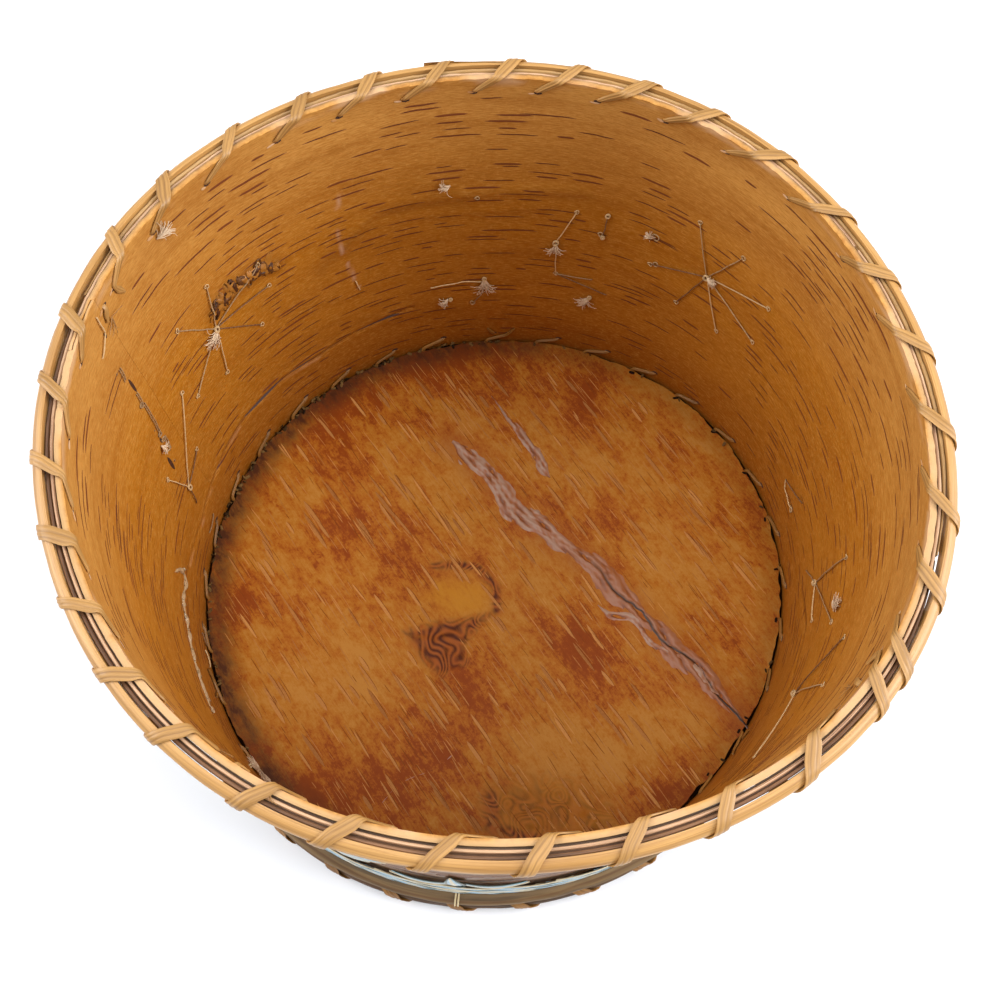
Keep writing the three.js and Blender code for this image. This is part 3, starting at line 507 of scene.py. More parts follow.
def disc_bark():
    """Birch bark disc, older and drier: orange brown with red and ochre patches, a fine grain that runs with
    its pale dashes, and knots with a whorled figure."""
    material, node = start_material("birch_bark_dry_mottled_disc", 0.5, Specular_IOR_Level=0.12)
    where = node("TexCoord", output="Object")
    along = node("Mapping", {"Vector": where, "Rotation": (0, 0, np.radians(-DASH_LEAN))})
    # patches, blotches, grain and flakes that have come off, by their sizes in millimetres along the dashes
    patch, blotch, grain = (
        streaks(node, along, [1 / (MM * span) for span in spans], *rest)
        for spans, *rest in (((24, 15, 20), 4, 0.62, 0.3), ((9, 4, 6), 5, 0.72, 0.2), ((4, 0.4, 1), 3, 0.7)))
    ragged = node("TexNoise", {"Vector": where, "Scale": 320, "Detail": 4, "Roughness": 0.7}, 1)
    flakes = node("Mapping", {"Vector": along, "Scale": [1 / (MM * span) for span in (13, 6, 10)]})
    flakes = node("VectorMath", (ragged, (1.1, 1.1, 1.1), flakes), operation="MULTIPLY_ADD")
    flake = node("TexVoronoi", {"Vector": flakes, "Scale": 1}, "Color")
    # specks about 1 mm and mealy ones about 2 mm across
    speck, mealy = (node("TexNoise", {"Vector": where, "Scale": scale, "Detail": detail, "Roughness": rough})
                    for scale, detail, rough in ((1100, 2, 0.7), (470, 4, 0.85)))
    red, ochre = (node("Attribute", output="Fac", attribute_name=mark) for mark in ("red", "ochre"))
    level = -0.19
    for field, weight in ((patch, 0.42), (blotch, 0.55), (grain, 0.28), (speck, 0.14), (flake, 0.1),
                          (mealy, 0.46), (red, -0.125), (ochre, 0.06)):
        level = node("Math", (field, weight, level), operation="MULTIPLY_ADD")
    tone = node("ValToRGB", (level,), stops=(
        (0.0, "#6E2C04"), (0.655, "disc_red"), (0.685, "#985010"), (0.755, "disc"), (0.82, "disc_ochre"),
        (0.95, "#B47C32")))
    # the whorled figure of the knots: contour lines about 1 mm apart of a field with 14 mm features
    field = node("TexNoise", {"Vector": where, "Scale": 70, "Detail": 1, "Distortion": 0.6})
    wave = node("Math", (node("Math", (field, 85), operation="MULTIPLY"),), operation="SINE")
    figure = veiled(node, "#4E2410", (wave, -1, 1, 1, "#9A5420"))
    # rim darkens the bottom's edge: painted shade under the foot of the wall
    tone = stained(node, tone, ("rim", "#4C2812", 0.9), ("seam", "#8E4A22", 0.5), ("honey", "#B87C1C", 0.7),
                   # crevice paints the bottom's edge face near black: painted shadow in the gap under the
                   # wall
                   ("whorl", figure, 1.1), ("crevice", "#1A0E06", 1.4), field=blotch, gain=2.6, base=-0.4)
    return end_material(material, node, tone, grain, 0.4, 0.3)


def split_wood(name, tint, deep, roughness=0.42, lines=2400):
    """Split willow or root: satin, with straight fibres, so many lines to the metre, and dark lines in its
    grooves and recesses, painted shade.
    """
    material, node = start_material(name, roughness)
    where = node("Attribute", output="Vector", attribute_name="surface")
    fibre = streaks(node, where, (30, lines, lines), 3, 0.6)
    cloud = streaks(node, where, (28, 220, 220), 3)
    tone = veiled(node, tint, (fibre, 0.4, 0.72, 0.75, deep), (cloud, 0.42, 0.72, 0.55, deep))
    # the groove mark is painted shade
    return end_material(material, node, stained(node, tone, ("groove", "#5A3816", 0.8)), fibre)


def layered_bark():
    """Cut edge of birch bark: papery layers 0.15 to 0.25 mm thick, cream, pink and brown, darkened with
    painted shade where it lies in the recess between the rim's strips.
    """
    material, node = start_material("birch_bark_cut_layers", 0.6)
    where = node("Attribute", output="Vector", attribute_name="surface")
    layer = streaks(node, where, (18, 900, 4200), 3, 0.55)
    tone = node("ValToRGB", (layer,), stops=((0.3, "#6A4630"), (0.42, "#B68C6A"), (0.58, "layers"),
                                             (0.74, "#A67C5A")))
    # the groove mark is painted shade in the recess between the strips
    groove = node("Attribute", output="Fac", attribute_name="groove")
    tone = veiled(node, tone, (groove, 0, 0.8, 0.8, "#2C1A0E"))
    return end_material(material, node, tone, layer, 0.6)


def shaded(name, low, high, roughness, **inputs):
    """A small-part finish whose colour runs from low to high with the mark called shade, finely mottled."""
    material, node = start_material(name, roughness, **inputs)
    mottle = node("TexNoise", {"Vector": node("TexCoord", output="Object"), "Scale": 1400, "Detail": 2})
    shade = node("Attribute", output="Fac", attribute_name="shade")
    shade = node("Math", (shade, 0.25), operation="SUBTRACT")
    share = node("Math", (mottle, 0.5, shade), operation="MULTIPLY_ADD")
    return end_material(material, node, veiled(node, low, (share, 0, 1, 1, high)), mottle, 0.3)


def flat_quill():
    """Flattened porcupine quill, dyed: smooth and glossy, faintly lined along its length."""
    material, node = start_material("dyed_quill_flattened", 0.3, IOR=1.55)
    tone = node("ValToRGB", (node("Attribute", output="Fac", attribute_name="shade"),), stops=(
        (0.0, "quill_blue"), (0.33, "quill_blue"), (0.36, "quill_cream"), (0.64, "quill_cream"),
        (0.67, "quill_green"), (1.0, "quill_green")))
    line = streaks(node, node("Attribute", output="Vector", attribute_name="surface"), (60, 3200, 3200), 2)
    return end_material(material, node, veiled(node, tone, (line, 0.45, 0.75, 0.35, "#5C5A50")))


def crack_bark():
    """Old glue over bark: brown and glossy, grey on its wrinkles, dark in its folds and in the opening, which
    is painted shade.
    """
    material, node = start_material("old_glue_wrinkled_over_bark", 0.26, Specular_IOR_Level=0.3)
    tone = stained(node, "glue", ("grey", "#AC9A8A", 0.62), ("fold", "#5E3018", 0.7),
                   ("opening", "#1E0E08", 1.0))
    return end_material(material, node, tone)


# Bark

def make_wall():
    """The bark sheet: columns along it, each a loop up the inner face, over the top and down the outer."""
    ends, between = 12, 551
    step = np.linspace(0, LAP_ANGLE - LAP_GAP, ends)
    full = np.linspace(LAP_ANGLE + LAP_GAP, 359.95, between)
    a = LAP_START + np.concatenate([step, full, 360 + LAP_GAP + step])[:, None]
    first = np.concatenate([np.zeros(ends + between), np.full(ends, LAP_OUTER)])[:, None]
    last = np.concatenate([np.full(ends, LAP_INNER), np.full(between + ends, size("wall"))])[:, None]
    up = np.concatenate([np.linspace(0, 0.12, 12), np.linspace(0.124, 0.27, 50), np.linspace(0.28, 1, 82)])
    down = np.linspace(1, 0, 26)
    share = np.concatenate([up, [1.0], down])
    middle = np.concatenate([0 * up, [0.5], 1 + 0 * down])
    inner = middle == 0
    ragged = 0.15 * ripple((a * ARC,), 5.5, 31, 9) + 0.1 * ripple((a * ARC,), 1.9, 32, 9)
    z = share * (size("height") + ragged - 0.5) + 0.04
    out = first + middle * (last - first) + relief(a, z) + inner * inner_marks(a, z)
    clouds = 0.5 + 0.5 * ripple((*ringwise(a), 1.6 * z), 13, 33, 12)
    worn = ramp(z, 131.8, 135) * ramp(0.5 + 0.5 * ripple((*ringwise(a), 6 * z), 24, 35, 12), 0.4, 0.85)
    # darker at the foot and along the crease: painted shade in the corner and in the crease; darker at the
    # reddish patch, the knot, the side crack and above the ridge
    stain = 0.4 * ramp(z, 9, 2) + marked(
        a, z, (STAIN, 0, 3.2, 0.3), (CREASE[2:7], 0, 0.6, 1.6), (CREASE[5:], 0, 0.6, 0.5),
        (CREASE, 3, 3, 0.35), (WALL_KNOT, 0, 3.6, 1), (SIDE_CRACK, 0, 0.8, 1), (RIDGE, 1, 1.2, 0.3))
    scar = marked(a, z, (WHITE_SCAR, 0, 0.6, 1)) * ramp(clouds, 0.3, 0.6)
    scar = scar + marked(a, z, (CREASE, -1.4, 0.5, 0.5)) * ramp(clouds, 0.4, 0.7)
    sheet = shell(place(a, z + 0.12 * (middle == 0.5), out), surface=grain_at(a * ARC, z, out), worn=worn,
                  stain=inner * stain, scar=inner * scar, back=(middle == 1)[None],
                  # edge: pale top of the sheet, partly painted highlight, strongest at the near and left side
                  edge=ramp(z, 133.5, 135.6) * (middle > 0) * painted_light_by_side(a))
    make_piece("bark_wall", [sheet], wall_bark(), "inner_bark", "wall_sheet", crease=50)


def pore_dash_places():
    """Seeded places of the pore dashes: columns of dashes that wander as they rise, with thinner patches."""
    rng = np.random.default_rng(11)
    columns = 41
    column, row = np.meshgrid(np.arange(columns), np.arange(41), indexing="ij")
    sway = np.cumsum(rng.normal(0, 0.9, column.shape), axis=1) + rng.normal(0, 2.2, column.shape)
    angle = (column + 0.5 + 0.5 * (row % 7 > 3)) * 360 / columns + sway / ARC
    z = 8 + 3.0 * row + rng.normal(0, 0.6, column.shape)
    dense = 0.52 + 0.26 * ripple((*ringwise(angle), 1.4 * z), 42, 12)
    dense = dense + 0.12 * ramp(np.abs(angle - 180), 70, 20)
    keep = rng.uniform(0, 1, column.shape) < dense
    keep &= (np.abs((angle - LAP_START + 180) % 360 - 180) > 6) & (z < 129.5)
    angle, z = angle[keep], z[keep]
    reach = np.clip(rng.gamma(7, size("dash") / 17, len(angle)), 2.0, 8.6)
    return angle, z, reach, rng.uniform(0, 1, len(angle)), rng.normal(0, 0.006, len(angle))


def make_dashes():
    """Pore dashes on both faces: thin lens slivers on the bark, (1 - t to the fourth) to the 0.6 wide."""
    angle, z, reach, shade, tilt = pore_dash_places()
    t = np.linspace(-1, 1, 9)
    x = reach[:, None] * t
    a = (angle[:, None] + x / ARC)[..., None]
    v = z[:, None] + x * tilt[:, None] + 0.06 * ripple((x + 31 * angle[:, None],), 8, 41)
    half = (0.23 + 0.23 * shade ** 2)[:, None] * np.maximum((1 - t ** 4) ** 0.6, 0.06)
    v = v[..., None] + np.array([1, 0.2, -1, 0.0]) * half[..., None]
    deep = np.array([-0.01, -0.075, -0.01, 0.16])
    faces = inside(a, v, deep), place(a, v, size("wall") + relief(a, v) - deep)
    finish = shaded("birch_bark_pore_dashes", "dash", "#743A14", 0.6)
    make_piece("pore_dashes", [shell(rows, shade=shade ** 2) for rows in faces], finish, "inner_bark")


def patches(x, y, places, reach):
    """Soft round patches: the sum of exp(-(distance / (reach times size)) squared)."""
    return sum(np.exp(-((x - px) ** 2 + (y - py) ** 2) / (reach * s) ** 2) for px, py, s in places)


def make_disc():
    """The bark bottom: rings from the middle out over the upper face, down the edge and back underneath."""
    turn = np.linspace(0, 360, 520, endpoint=False)
    middle = np.add(CENTRE, LEAN)
    edge = np.linalg.norm(place(turn, 3.0)[:, :2] - middle, axis=1)
    gap = 0.9 + 0.45 * ripple(ringwise(turn), 21, 51) + 0.22 * ripple(ringwise(turn), 4.5, 52)
    gap = np.clip(gap, 0.45, 2.2)
    share = np.concatenate([np.linspace(0.004, 0.994, 148), [0.999, 1.0, 1.0, 0.998],
                            np.linspace(0.96, 0.004, 12)])[:, None]
    top = np.concatenate([np.ones(149), [0.75, 0.3], np.zeros(13)])[:, None]
    x, y = turned(turn, share * (edge - gap) + (top == 0.3) * (gap - 0.15))
    x, y = middle[0] + x, middle[1] + y
    z = (DISC_TOP - size("disc")) * (1 - top) + disc_height(x, y) * top
    on_top = top > 0.9
    # a darker band round the bottom's edge, strongest at the left: painted shade under the foot of the wall
    worn = ramp(share, 0.88, 0.99) * (0.25 + 0.75 * ramp(np.cos(np.radians(turn - 165)), -0.3, 0.5))
    honey = np.maximum(within(x, y, HONEY, 1.5), 0.9 * within(x, y, FAR_KNOT, 2.5))
    dark = np.maximum(near(x, y, HONEY_EDGE, 1.6), 0.8 * near(x, y, FAR_KNOT[5:], 3.5))
    whorl = np.maximum(within(x, y, KNOT, 1.2), np.maximum(dark, 0.55 * within(x, y, FAR_KNOT, 4)))
    disc = shell(np.stack([x, y, z], -1), red=on_top * patches(x, y, RED_PATCHES, 13),
                 ochre=on_top * patches(x, y, OCHRE_PATCHES, 15), rim=on_top * worn,
                 # crevice: the edge face of the bottom painted near black, painted shadow of the gap between
                 # bottom and wall
                 crevice=ramp(share, 0.995, 0.999) * (top > 0) * (top < 1), honey=on_top * honey,
                 seam=on_top * near(x, y, DISC_CRACK, 6.5), whorl=on_top * whorl)
    make_piece("bark_bottom", [disc], disc_bark(), "disc_bark", "bottom_disc", crease=60)


def crack_shell(line, half, height, split, fade, seed):
    """A strip of glue whose width swells and thins, domed by 1 minus the square across it, with wrinkles as
    waves along it, and the dark opening that winds in it where it is split; the opening and the folds between
    the wrinkles are painted shade."""
    over, under = np.linspace(-1, 1, 29), [0.8, 0.0, -0.8]
    v = np.concatenate([over, under])
    top = np.arange(len(v)) < len(over)
    path = even_path(line, 0.4, 1.5)
    run = 0.4 * np.arange(len(path))[:, None]
    along = unit(np.gradient(path, axis=0))
    ends = ramp(run, 0, fade) * ramp(run[-1] - run, 0, 22 if split else 5)
    width = half * (0.95 + 0.15 * ripple((run,), 30, seed)) * (0.12 + 0.88 * ends)
    width = width * (1 + 0.1 * ripple((run, 9 * np.sign(v)), 5, seed + 5, 9))
    shift = 0.9 * ripple((run,), 19, seed + 1) * ends + v * width
    x, y = path[:, :1] - along[:, 1:] * shift, path[:, 1:] + along[:, :1] * shift
    wrinkle = ripple((0.2 * run, shift), 2.0, seed + 2, 9)
    fine = ripple((run, 1.5 * shift), 2.2, seed + 3, 9)
    winding = 0.8 * ripple((run,), 30, seed + 4) + 0.14 * ripple((run,), 5, seed + 6)
    opening = split * np.exp(-((shift - winding) / 0.5) ** 2) * ramp(run, 62, 84)
    rise = (1 - v ** 2) * (height + 0.26 * wrinkle * min(half / 3, 1.0) + 0.06 * fine) - 0.1 - 0.7 * opening
    z = np.where(top, disc_height(x, y) + np.maximum(rise, 0.17 * opening - 0.1), DISC_TOP - 0.5)
    grey = ramp(0.4 * fine + wrinkle, -1.0, 0.9) * (0.35 + 0.65 * ramp(run, 80, 40))
    # fold and opening: painted shade in the troughs of the wrinkles and in the split
    return shell(np.stack([x, y, z], -1), fold=top * ramp(-wrinkle, 0.2, 1.3), opening=top * opening,
                 grey=top * grey)


def make_crack():
    """Old glue in the crack of the bottom and beside it, and the long scratch."""
    make_piece("crack_glue", [crack_shell(*strip) for strip in (
        (DISC_CRACK, 4.4, 0.5, 1.0, 9, 231), (SIDE_GLUE, 1.6, 0.3, 0.0, 7, 241),
        (SECOND_GLUE, 2.6, 0.4, 0.0, 30, 251), (SCRATCH, 0.22, 0.1, 0.0, 7, 271))],
        crack_bark(), "disc_bark", crease=70)


def make_disc_dashes():
    """Dashes of the bottom, slivers that all lie the same way, (1 - t to the fourth) wide: broad pale ones
    with a dark edge, fine dark scratches and fine pale ones."""
    parts = []
    t, side = np.linspace(-1, 1, 8)[:, None], np.array([1, 0, -1, 0])
    for seed, count, breadth, reaches, high in (
            (61, 250, (0.32, 0.7), (2.8, 7.2), 0.03), (62, 420, (0.07, 0.13), (1.5, 5), 0.05),
            (63, 950, (0.08, 0.17), (1.4, 5.5), 0.03)):
        rng = np.random.default_rng(seed)
        radius, turn = 98 * np.sqrt(rng.uniform(0, 1, count)), rng.uniform(0, 2 * np.pi, count)
        x0, y0 = DASH_MIDDLE[0] + radius * np.cos(turn), DASH_MIDDLE[1] + radius * np.sin(turn)
        reach, half = rng.uniform(*reaches, count), rng.uniform(*breadth, count)
        shade, lean = rng.uniform(0, 1, count), DASH_LEAN + np.degrees(rng.normal(0, 0.03, count))
        clear = (radius + reach < 99.5) & (near(x0, y0, DISC_CRACK, 4.5) < 0.4)
        clear &= (within(x0, y0, KNOT, 2) < 0.4) & (within(x0, y0, HONEY, 2) < 0.4)
        x0, y0, reach, half, shade, lean = (
            v[clear][:, None, None] for v in (x0, y0, reach, half, shade, lean))
        for aside, thick, dark in ((0, half, seed == 62), (half, 0.1, True))[:2 if seed == 61 else 1]:
            x, y = turned(lean, reach * t, (aside + thick * side) * np.maximum(1 - t ** 4, 0.08))
            x, y = x0 + x, y0 + y
            z = disc_height(x, y) + np.array([0.0, high, 0.0, -0.2]) + 0.02 * (thick is not half)
            parts.append(shell(np.stack([x, y, z], -1), shade=1 if dark else 0.6 * shade))
    finish = shaded("birch_bark_pale_dashes", "disc_pale", "#74380C", 0.6, Specular_IOR_Level=0.1)
    make_piece("bottom_dashes", parts, finish, "disc_bark")


# Hoops, splints and root

def half_round(hoop, seed, grooves=0.0, count=361):
    """A half-round hoop scarfed to itself: rings of its section, flat inside and round outside, sliced where
    its two ends lie on each other, and a little uneven in width and height."""
    angle = hoop.start + np.linspace(0, 360 + hoop.lap, count + hoop.lap)[:, None]
    share_in, share_out = (np.clip((angle - hoop.start - turn) / hoop.lap, 0, 1) for turn in (0, 360))
    edge, gap = 0.45, 0.12
    slope = hoop.thickness - 2 * edge
    high = np.where(share_in < 1, edge - gap + share_in * slope, hoop.thickness)
    low = np.where(share_out > 0, edge + gap + share_out * slope, 0)
    ring_out, ring_up = turned(np.linspace(-90, 90, 25))
    ring_out, ring_up = np.append(ring_out, np.zeros(3)), np.append(ring_up, [0.6, 0.0, -0.6])
    arc = angle * ARC
    swell = 1 + 0.035 * ripple((arc,), 60, seed) + 0.02 * ripple((arc,), 14, seed + 1)
    dark = ramp(np.cos(ring_up * 10 + 1.6 * ripple((arc,), 90, seed + 2)), 0.35, 1) * (ring_out > 0.2)
    body = np.clip(ring_out * (hoop.thickness - grooves * dark), low, high)
    z = hoop.bottom + hoop.height / 2 + ring_up * (hoop.height / 2 - 0.12) * swell
    out = hoop.inner + 0.05 + body * np.minimum(swell, 1.0)
    # groove: painted shade in the hoop's lengthwise grooves
    return shell(place(angle, z, out), surface=grain_at(arc, z, out), groove=dark * min(3.0 * grooves, 1.0))


def flat_strip(start, end, inner, thickness, height, taper, seed):
    """A flat strip on edge round the rim, pared thin over its ends, its top edge a little uneven."""
    angle = np.linspace(start, end, int(abs(end - start)) + 1)[:, None]
    pare = np.minimum(ramp(angle, start, start + taper), ramp(angle, end, end - taper)) if taper else 1
    share_out = np.array([0.04, 0, 0, 0.3, 0.38, 0.5, 0.85, 1, 1, 0.96, 0.5])
    share_up = np.array([0, 0.06, 0.72, 0.72, 0.95, 1, 1, 0.9, 0.06, 0, 0])
    arc = angle * ARC
    top = 0.12 * (ripple((arc,), 26, seed) + 0.6 * ripple((arc,), 6, seed + 1))
    out = inner + share_out * thickness * (0.35 + 0.65 * pare)
    z = RIM_HOOP.bottom + share_up * (height + top - 0.12)
    # groove: painted shade on the face that lies in the recess between the rim's strips, deeper at the near
    # and left side
    groove = ((share_up > 0.5) & (share_out < 0.35)) * 1.2 * painted_light_by_side(angle) ** 2
    return shell(place(angle, z, out), surface=grain_at(arc, z, out), groove=groove)


def make_rim_strips():
    """The layered bark band, the two splints and the half-round hoop that stiffen the rim."""
    make_piece("rim_bark_band", [flat_strip(32.4, 391.6, 1.9, 1.4, 3.5, 0, 71)], layered_bark(),
               "layered_bark", "rim_band")
    straw = split_wood("split_willow_scraped", "splint", "#84603A", 0.45)
    # the near splint is tinted dark brown as painted shade, for the recess it lies in
    brown = split_wood("split_willow_darkened_as_painted_shade", "#8A6240", "#3A2214", 0.5)
    make_piece("rim_splint_1", [flat_strip(-15, 167, 3.25, 1.5, 3.4, 14, 73)], straw, "splint_wood",
               "rim_splint_far")
    make_piece("rim_splint_2", [flat_strip(167.6, 344.4, 3.25, 1.5, 2.7, 14, 75)], brown, "splint_wood",
               "rim_splint_near")
    peeled = split_wood("willow_rod_peeled_halved", "hoop", "#996A34", 0.36)
    make_piece("rim_half_hoop", [half_round(RIM_HOOP, 77, 0.1)], peeled, "hoop_wood", "rim_hoop")


def make_foot_hoops():
    """The dark lower hoop and the paler upper hoop, two halved willow rods."""
    dark = split_wood("willow_rod_halved_dark", "lower_hoop", "#20140A", 0.5, 800)
    pale = split_wood("willow_rod_halved_grey", "upper_hoop", "#33220F", 0.5, 800)
    make_piece("lower_foot_hoop", [half_round(LOWER_HOOP, 101, 0.3)], dark, "old_hoop_wood",
               "base_hoop_lower")
    make_piece("upper_foot_hoop", [half_round(UPPER_HOOP, 104, 0.3)], pale, "pale_hoop_wood",
               "base_hoop_upper")


def bend_round(hoop, shares):
    """Stations (out, height, share) round a half-round hoop from its top to its bottom, ROOT_RIDE off it."""
    across, up = turned(np.array([60, 30, 0, -30, -60]))
    out = hoop.inner + (hoop.thickness + ROOT_RIDE) * across
    z = hoop.bottom + hoop.height / 2 + (hoop.height / 2 + ROOT_RIDE) * up
    return list(zip(out, z, np.linspace(*shares, 5)))


def rim_stations():
    """One loop of root at the rim: up the inner face, over the edges, round the hoop, in by the next hole."""
    loop = [(-ROOT_RIDE, RIM_SLOT + ROOT_RIDE, 0), (-ROOT_RIDE, HOOP_TOP, 0.34), (-0.3, 136.15, 0.36),
            (0.4, 136.3, 0.39), (RIM_HOOP.inner, HOOP_TOP + ROOT_RIDE, 0.57),
            *bend_round(RIM_HOOP, (0.62, 0.78))]
    return loop + [(RIM_HOOP.inner, RIM_SLOT, 0.88), (BAND_INNER, RIM_SLOT, 1), (0.6, RIM_SLOT, 1)]


def foot_stations():
    """One loop of root at the foot: down inside, through the bottom, under the wall, up round the hoop."""
    under = LOWER_HOOP.bottom - ROOT_RIDE
    loop = [(-ROOT_RIDE, FOOT_SLOT - ROOT_RIDE, -0.05), (-0.8, DISC_TOP + 1, -0.42),
            (-1.2, DISC_TOP - 0.6, -0.46), (-1.2, 1.8, -0.4), (-1, under, -0.35), (1.8, under, -0.15),
            (2.1, under, -0.1)]
    loop += bend_round(LOWER_HOOP, (0.65, 0.2))[::-1]
    return loop + [(2.1, 6.8 + ROOT_RIDE, 0.93), (1.8, FOOT_SLOT, 1), (0.6, FOOT_SLOT, 1)]


def lash_path(holes, loop, slot, side, tail):
    """Angle, height and out of one length of root: its start tail, one loop for each step, its end tail."""
    start = (-ROOT_RIDE, slot - side * tail, 0.12), (-ROOT_RIDE, slot - side, 0.02)
    end = (-ROOT_RIDE, slot - side * ROOT_RIDE, 0), (-ROOT_RIDE, slot - side * tail, -0.12)
    steps = [(holes[0], holes[1], start), *((*pair, loop) for pair in zip(holes, holes[1:])),
             (holes[-1], 2 * holes[-1] - holes[-2], end)]
    return np.array([(first + share * (second - first), z, out) for first, second, stations in steps
                     for out, z, share in stations])


def root_strap(path, side, seed, slot_height):
    """A split root along a path: a half-oval section with lengthwise grooves, narrowed where it passes a
    hole. Its flat lies along the cross product of its run and the wall's own level direction."""
    scaled = even_path(path * (ARC, 1, 1), 0.4, 0.9)[::2]
    angle, z, out = scaled[:, 0] / ARC, scaled[:, 1], scaled[:, 2]
    line = place(angle, z, out)
    along = unit(np.gradient(line, axis=0))
    level = np.stack([-np.sin(np.radians(angle)), np.cos(np.radians(angle)), 0 * angle], -1)
    normal = side * unit(np.cross(along, level))
    across = unit(np.cross(normal, along))
    run = np.concatenate([[0], np.cumsum(np.linalg.norm(np.diff(line, axis=0), axis=1))])
    hole = np.exp(-((z - slot_height) / 1.9) ** 2) * ramp(out, 3.2, 1.2)
    hole = np.maximum(hole, 1.1 * ramp(out, 0.2, -0.4) if side < 0 else 0)
    width = size("root_width") * (1 - 0.3 * ramp(out, 1.5, -0.5) - 0.3 * hole)
    width = width * (1 + 0.12 * ripple((run,), 45, seed))
    width = width * (0.45 + 0.55 * ramp(np.minimum(run, run[-1] - run), 0, 3))
    thick = size("root_thickness") * (1 + 0.25 * hole)
    run, width, thick = run[:, None], width[:, None], thick[:, None]
    over, under = np.linspace(-1, 1, 15), np.linspace(0.92, -0.92, 6)
    s = np.concatenate([over, under])
    top = np.arange(len(s)) < len(over)
    lines = np.cos(s * 8.5 + 1.4 * ripple((run,), 70, seed + 1))
    depth = np.where(top, 0.5 - 0.42 * np.abs(s) ** 2.2 + 0.085 * lines * (1 - s ** 2), -0.5 + 0.2 * s ** 2)
    aside = s * width / 2
    rows = line[:, None] + across[:, None] * aside[..., None] + normal[:, None] * (depth * thick)[..., None]
    # groove: painted shade in the root's lengthwise grooves
    return shell(rows, surface=grain_at(run + 997 * seed, aside, depth),
                 groove=top * ramp(-lines, 0.35, 1) * (1 - s ** 4) * 0.55)


def foot_holes():
    """Angles of the holes of the three lengths of root at the foot."""
    start, runs = FOOT_START, []
    for loops in FOOT_LOOPS:
        runs.append(start - FOOT_PITCH * np.arange(loops + 1))
        start = runs[-1][-1] - FOOT_STEP
    return runs


def make_lashings():
    """The three lengths of root that bind the rim, and the three that sew wall, bottom and lower hoop."""
    fresh = split_wood("split_root_scraped", "root", "#8E6632", 0.42, 1900)
    dark = split_wood("split_root_old_and_dark", "old_root", "#573816", 0.48, 1900)
    for end, node, runs, loop, slot, side, tail, seed, finish, kind in (
            ("rim", "rim", RIM_RUNS, rim_stations(), RIM_SLOT, 1, 5, 81, fresh, "root"),
            ("foot", "base", foot_holes(), foot_stations(), FOOT_SLOT, -1, 4, 91, dark, "old_root")):
        for i, holes in enumerate(runs):
            strap = root_strap(lash_path(holes, loop, slot, side, tail), side, seed + i, slot)
            make_piece(f"{end}_root_{i + 1}", [strap], finish, kind, f"{node}_lashing_{i + 1}", crease=60)


def make_frays():
    """Frayed root fibres: at the ends of the lengths of root and a few that have lifted from the rim."""
    rng = np.random.default_rng(221)
    lines = []
    t = np.linspace(0, 1, 9)
    for angle, z, out, reach, count in ((236, 125, -0.6, 5, 9), (166.8, 125.5, -0.6, 6, 8),
                                        (245, 136.2, 1, 4, 12), (325.5, 125.6, -0.6, 5, 8)):
        lean = rng.normal(-80, 28, count)[:, None]
        u, v = turned(lean + rng.normal(0, 25, count)[:, None] * t, reach * t)
        u, v = u * rng.uniform(0.5, 1.1, count)[:, None], v * rng.uniform(0.5, 1.0, count)[:, None]
        lift = out - 0.9 * t * rng.uniform(0, 1, count)[:, None] if out < 0 else out + 2.5 * t
        drop = np.minimum(z + v, z) if out < 0 else z - 0.3 - 0.1 * np.abs(v)
        lines.append(place(angle + u / ARC, drop, lift))
    lines = np.concatenate(lines)
    fibres = cords(lines, 0.12 * (1 - 0.5 * t), 4, shade=rng.uniform(0, 0.8, len(lines)))
    make_piece("root_fibres", [fibres], shaded("root_fibres_frayed", "root", "thread_dark", 0.6), "root")


def wall_lens(angle, z, reach, half, out, lean=90, **marks):
    """Lens slivers on the inner face: dark ones, painted shade of the openings where root or thread goes
    through, and chips.
    """
    angle, z, reach, half, lean = (v[:, None, None] for v in np.broadcast_arrays(angle, z, reach, half, lean))
    t = np.linspace(-1, 1, 7)[:, None]
    u, v = turned(lean, reach * t, half * np.sqrt(np.maximum(1 - t ** 2, 0.01)) * np.array([1, 0, -1, 0]))
    return shell(inside(angle + u / ARC, z + v, out + np.array([0.0, -0.05, 0.0, 0.25])), **marks)


def make_holes():
    """The awl slits of the root at rim and foot and dark folds by the crease, all dark slivers of painted
    shade, and bruised bark by the slits.
    """
    rim, foot = np.concatenate(RIM_RUNS), np.concatenate(foot_holes())
    rng = np.random.default_rng(111)
    # dark slivers: painted shade in the slits and in the folds of the crease
    slits = [wall_lens(rim + rng.normal(0, 0.2, len(rim)), RIM_SLOT - 0.4, 0.6, 1.2, -0.02, shade=0.2),
             wall_lens(foot, FOOT_SLOT + 0.3, 0.7, 1.3, -0.02, shade=0.3),
             wall_lens([147.5, 136.5, 119], [25.9, 25.2, 27.4], [11, 7, 9], [0.8, 0.5, 0.4], -0.1, [0, 4, -6],
                       shade=0.9)]
    make_piece("awl_slits", slits, shaded("awl_slit_painted_shade", "#381C0A", "#554644", 0.8), "inner_bark")
    count = len(rim)
    chips = [rim + rng.uniform(0.5, 1.1, count), RIM_SLOT - 0.6 + rng.normal(0, 0.3, count),
             rng.uniform(0.7, 1.5, count), rng.uniform(0.3, 0.6, count), -0.12, rng.uniform(-25, 15, count)]
    make_piece("bark_chips", [wall_lens(*chips, shade=rng.uniform(0, 1, count))],
               shaded("bruised_bark_chips", "#C08A50", "#D8B48E", 0.65), "inner_bark")


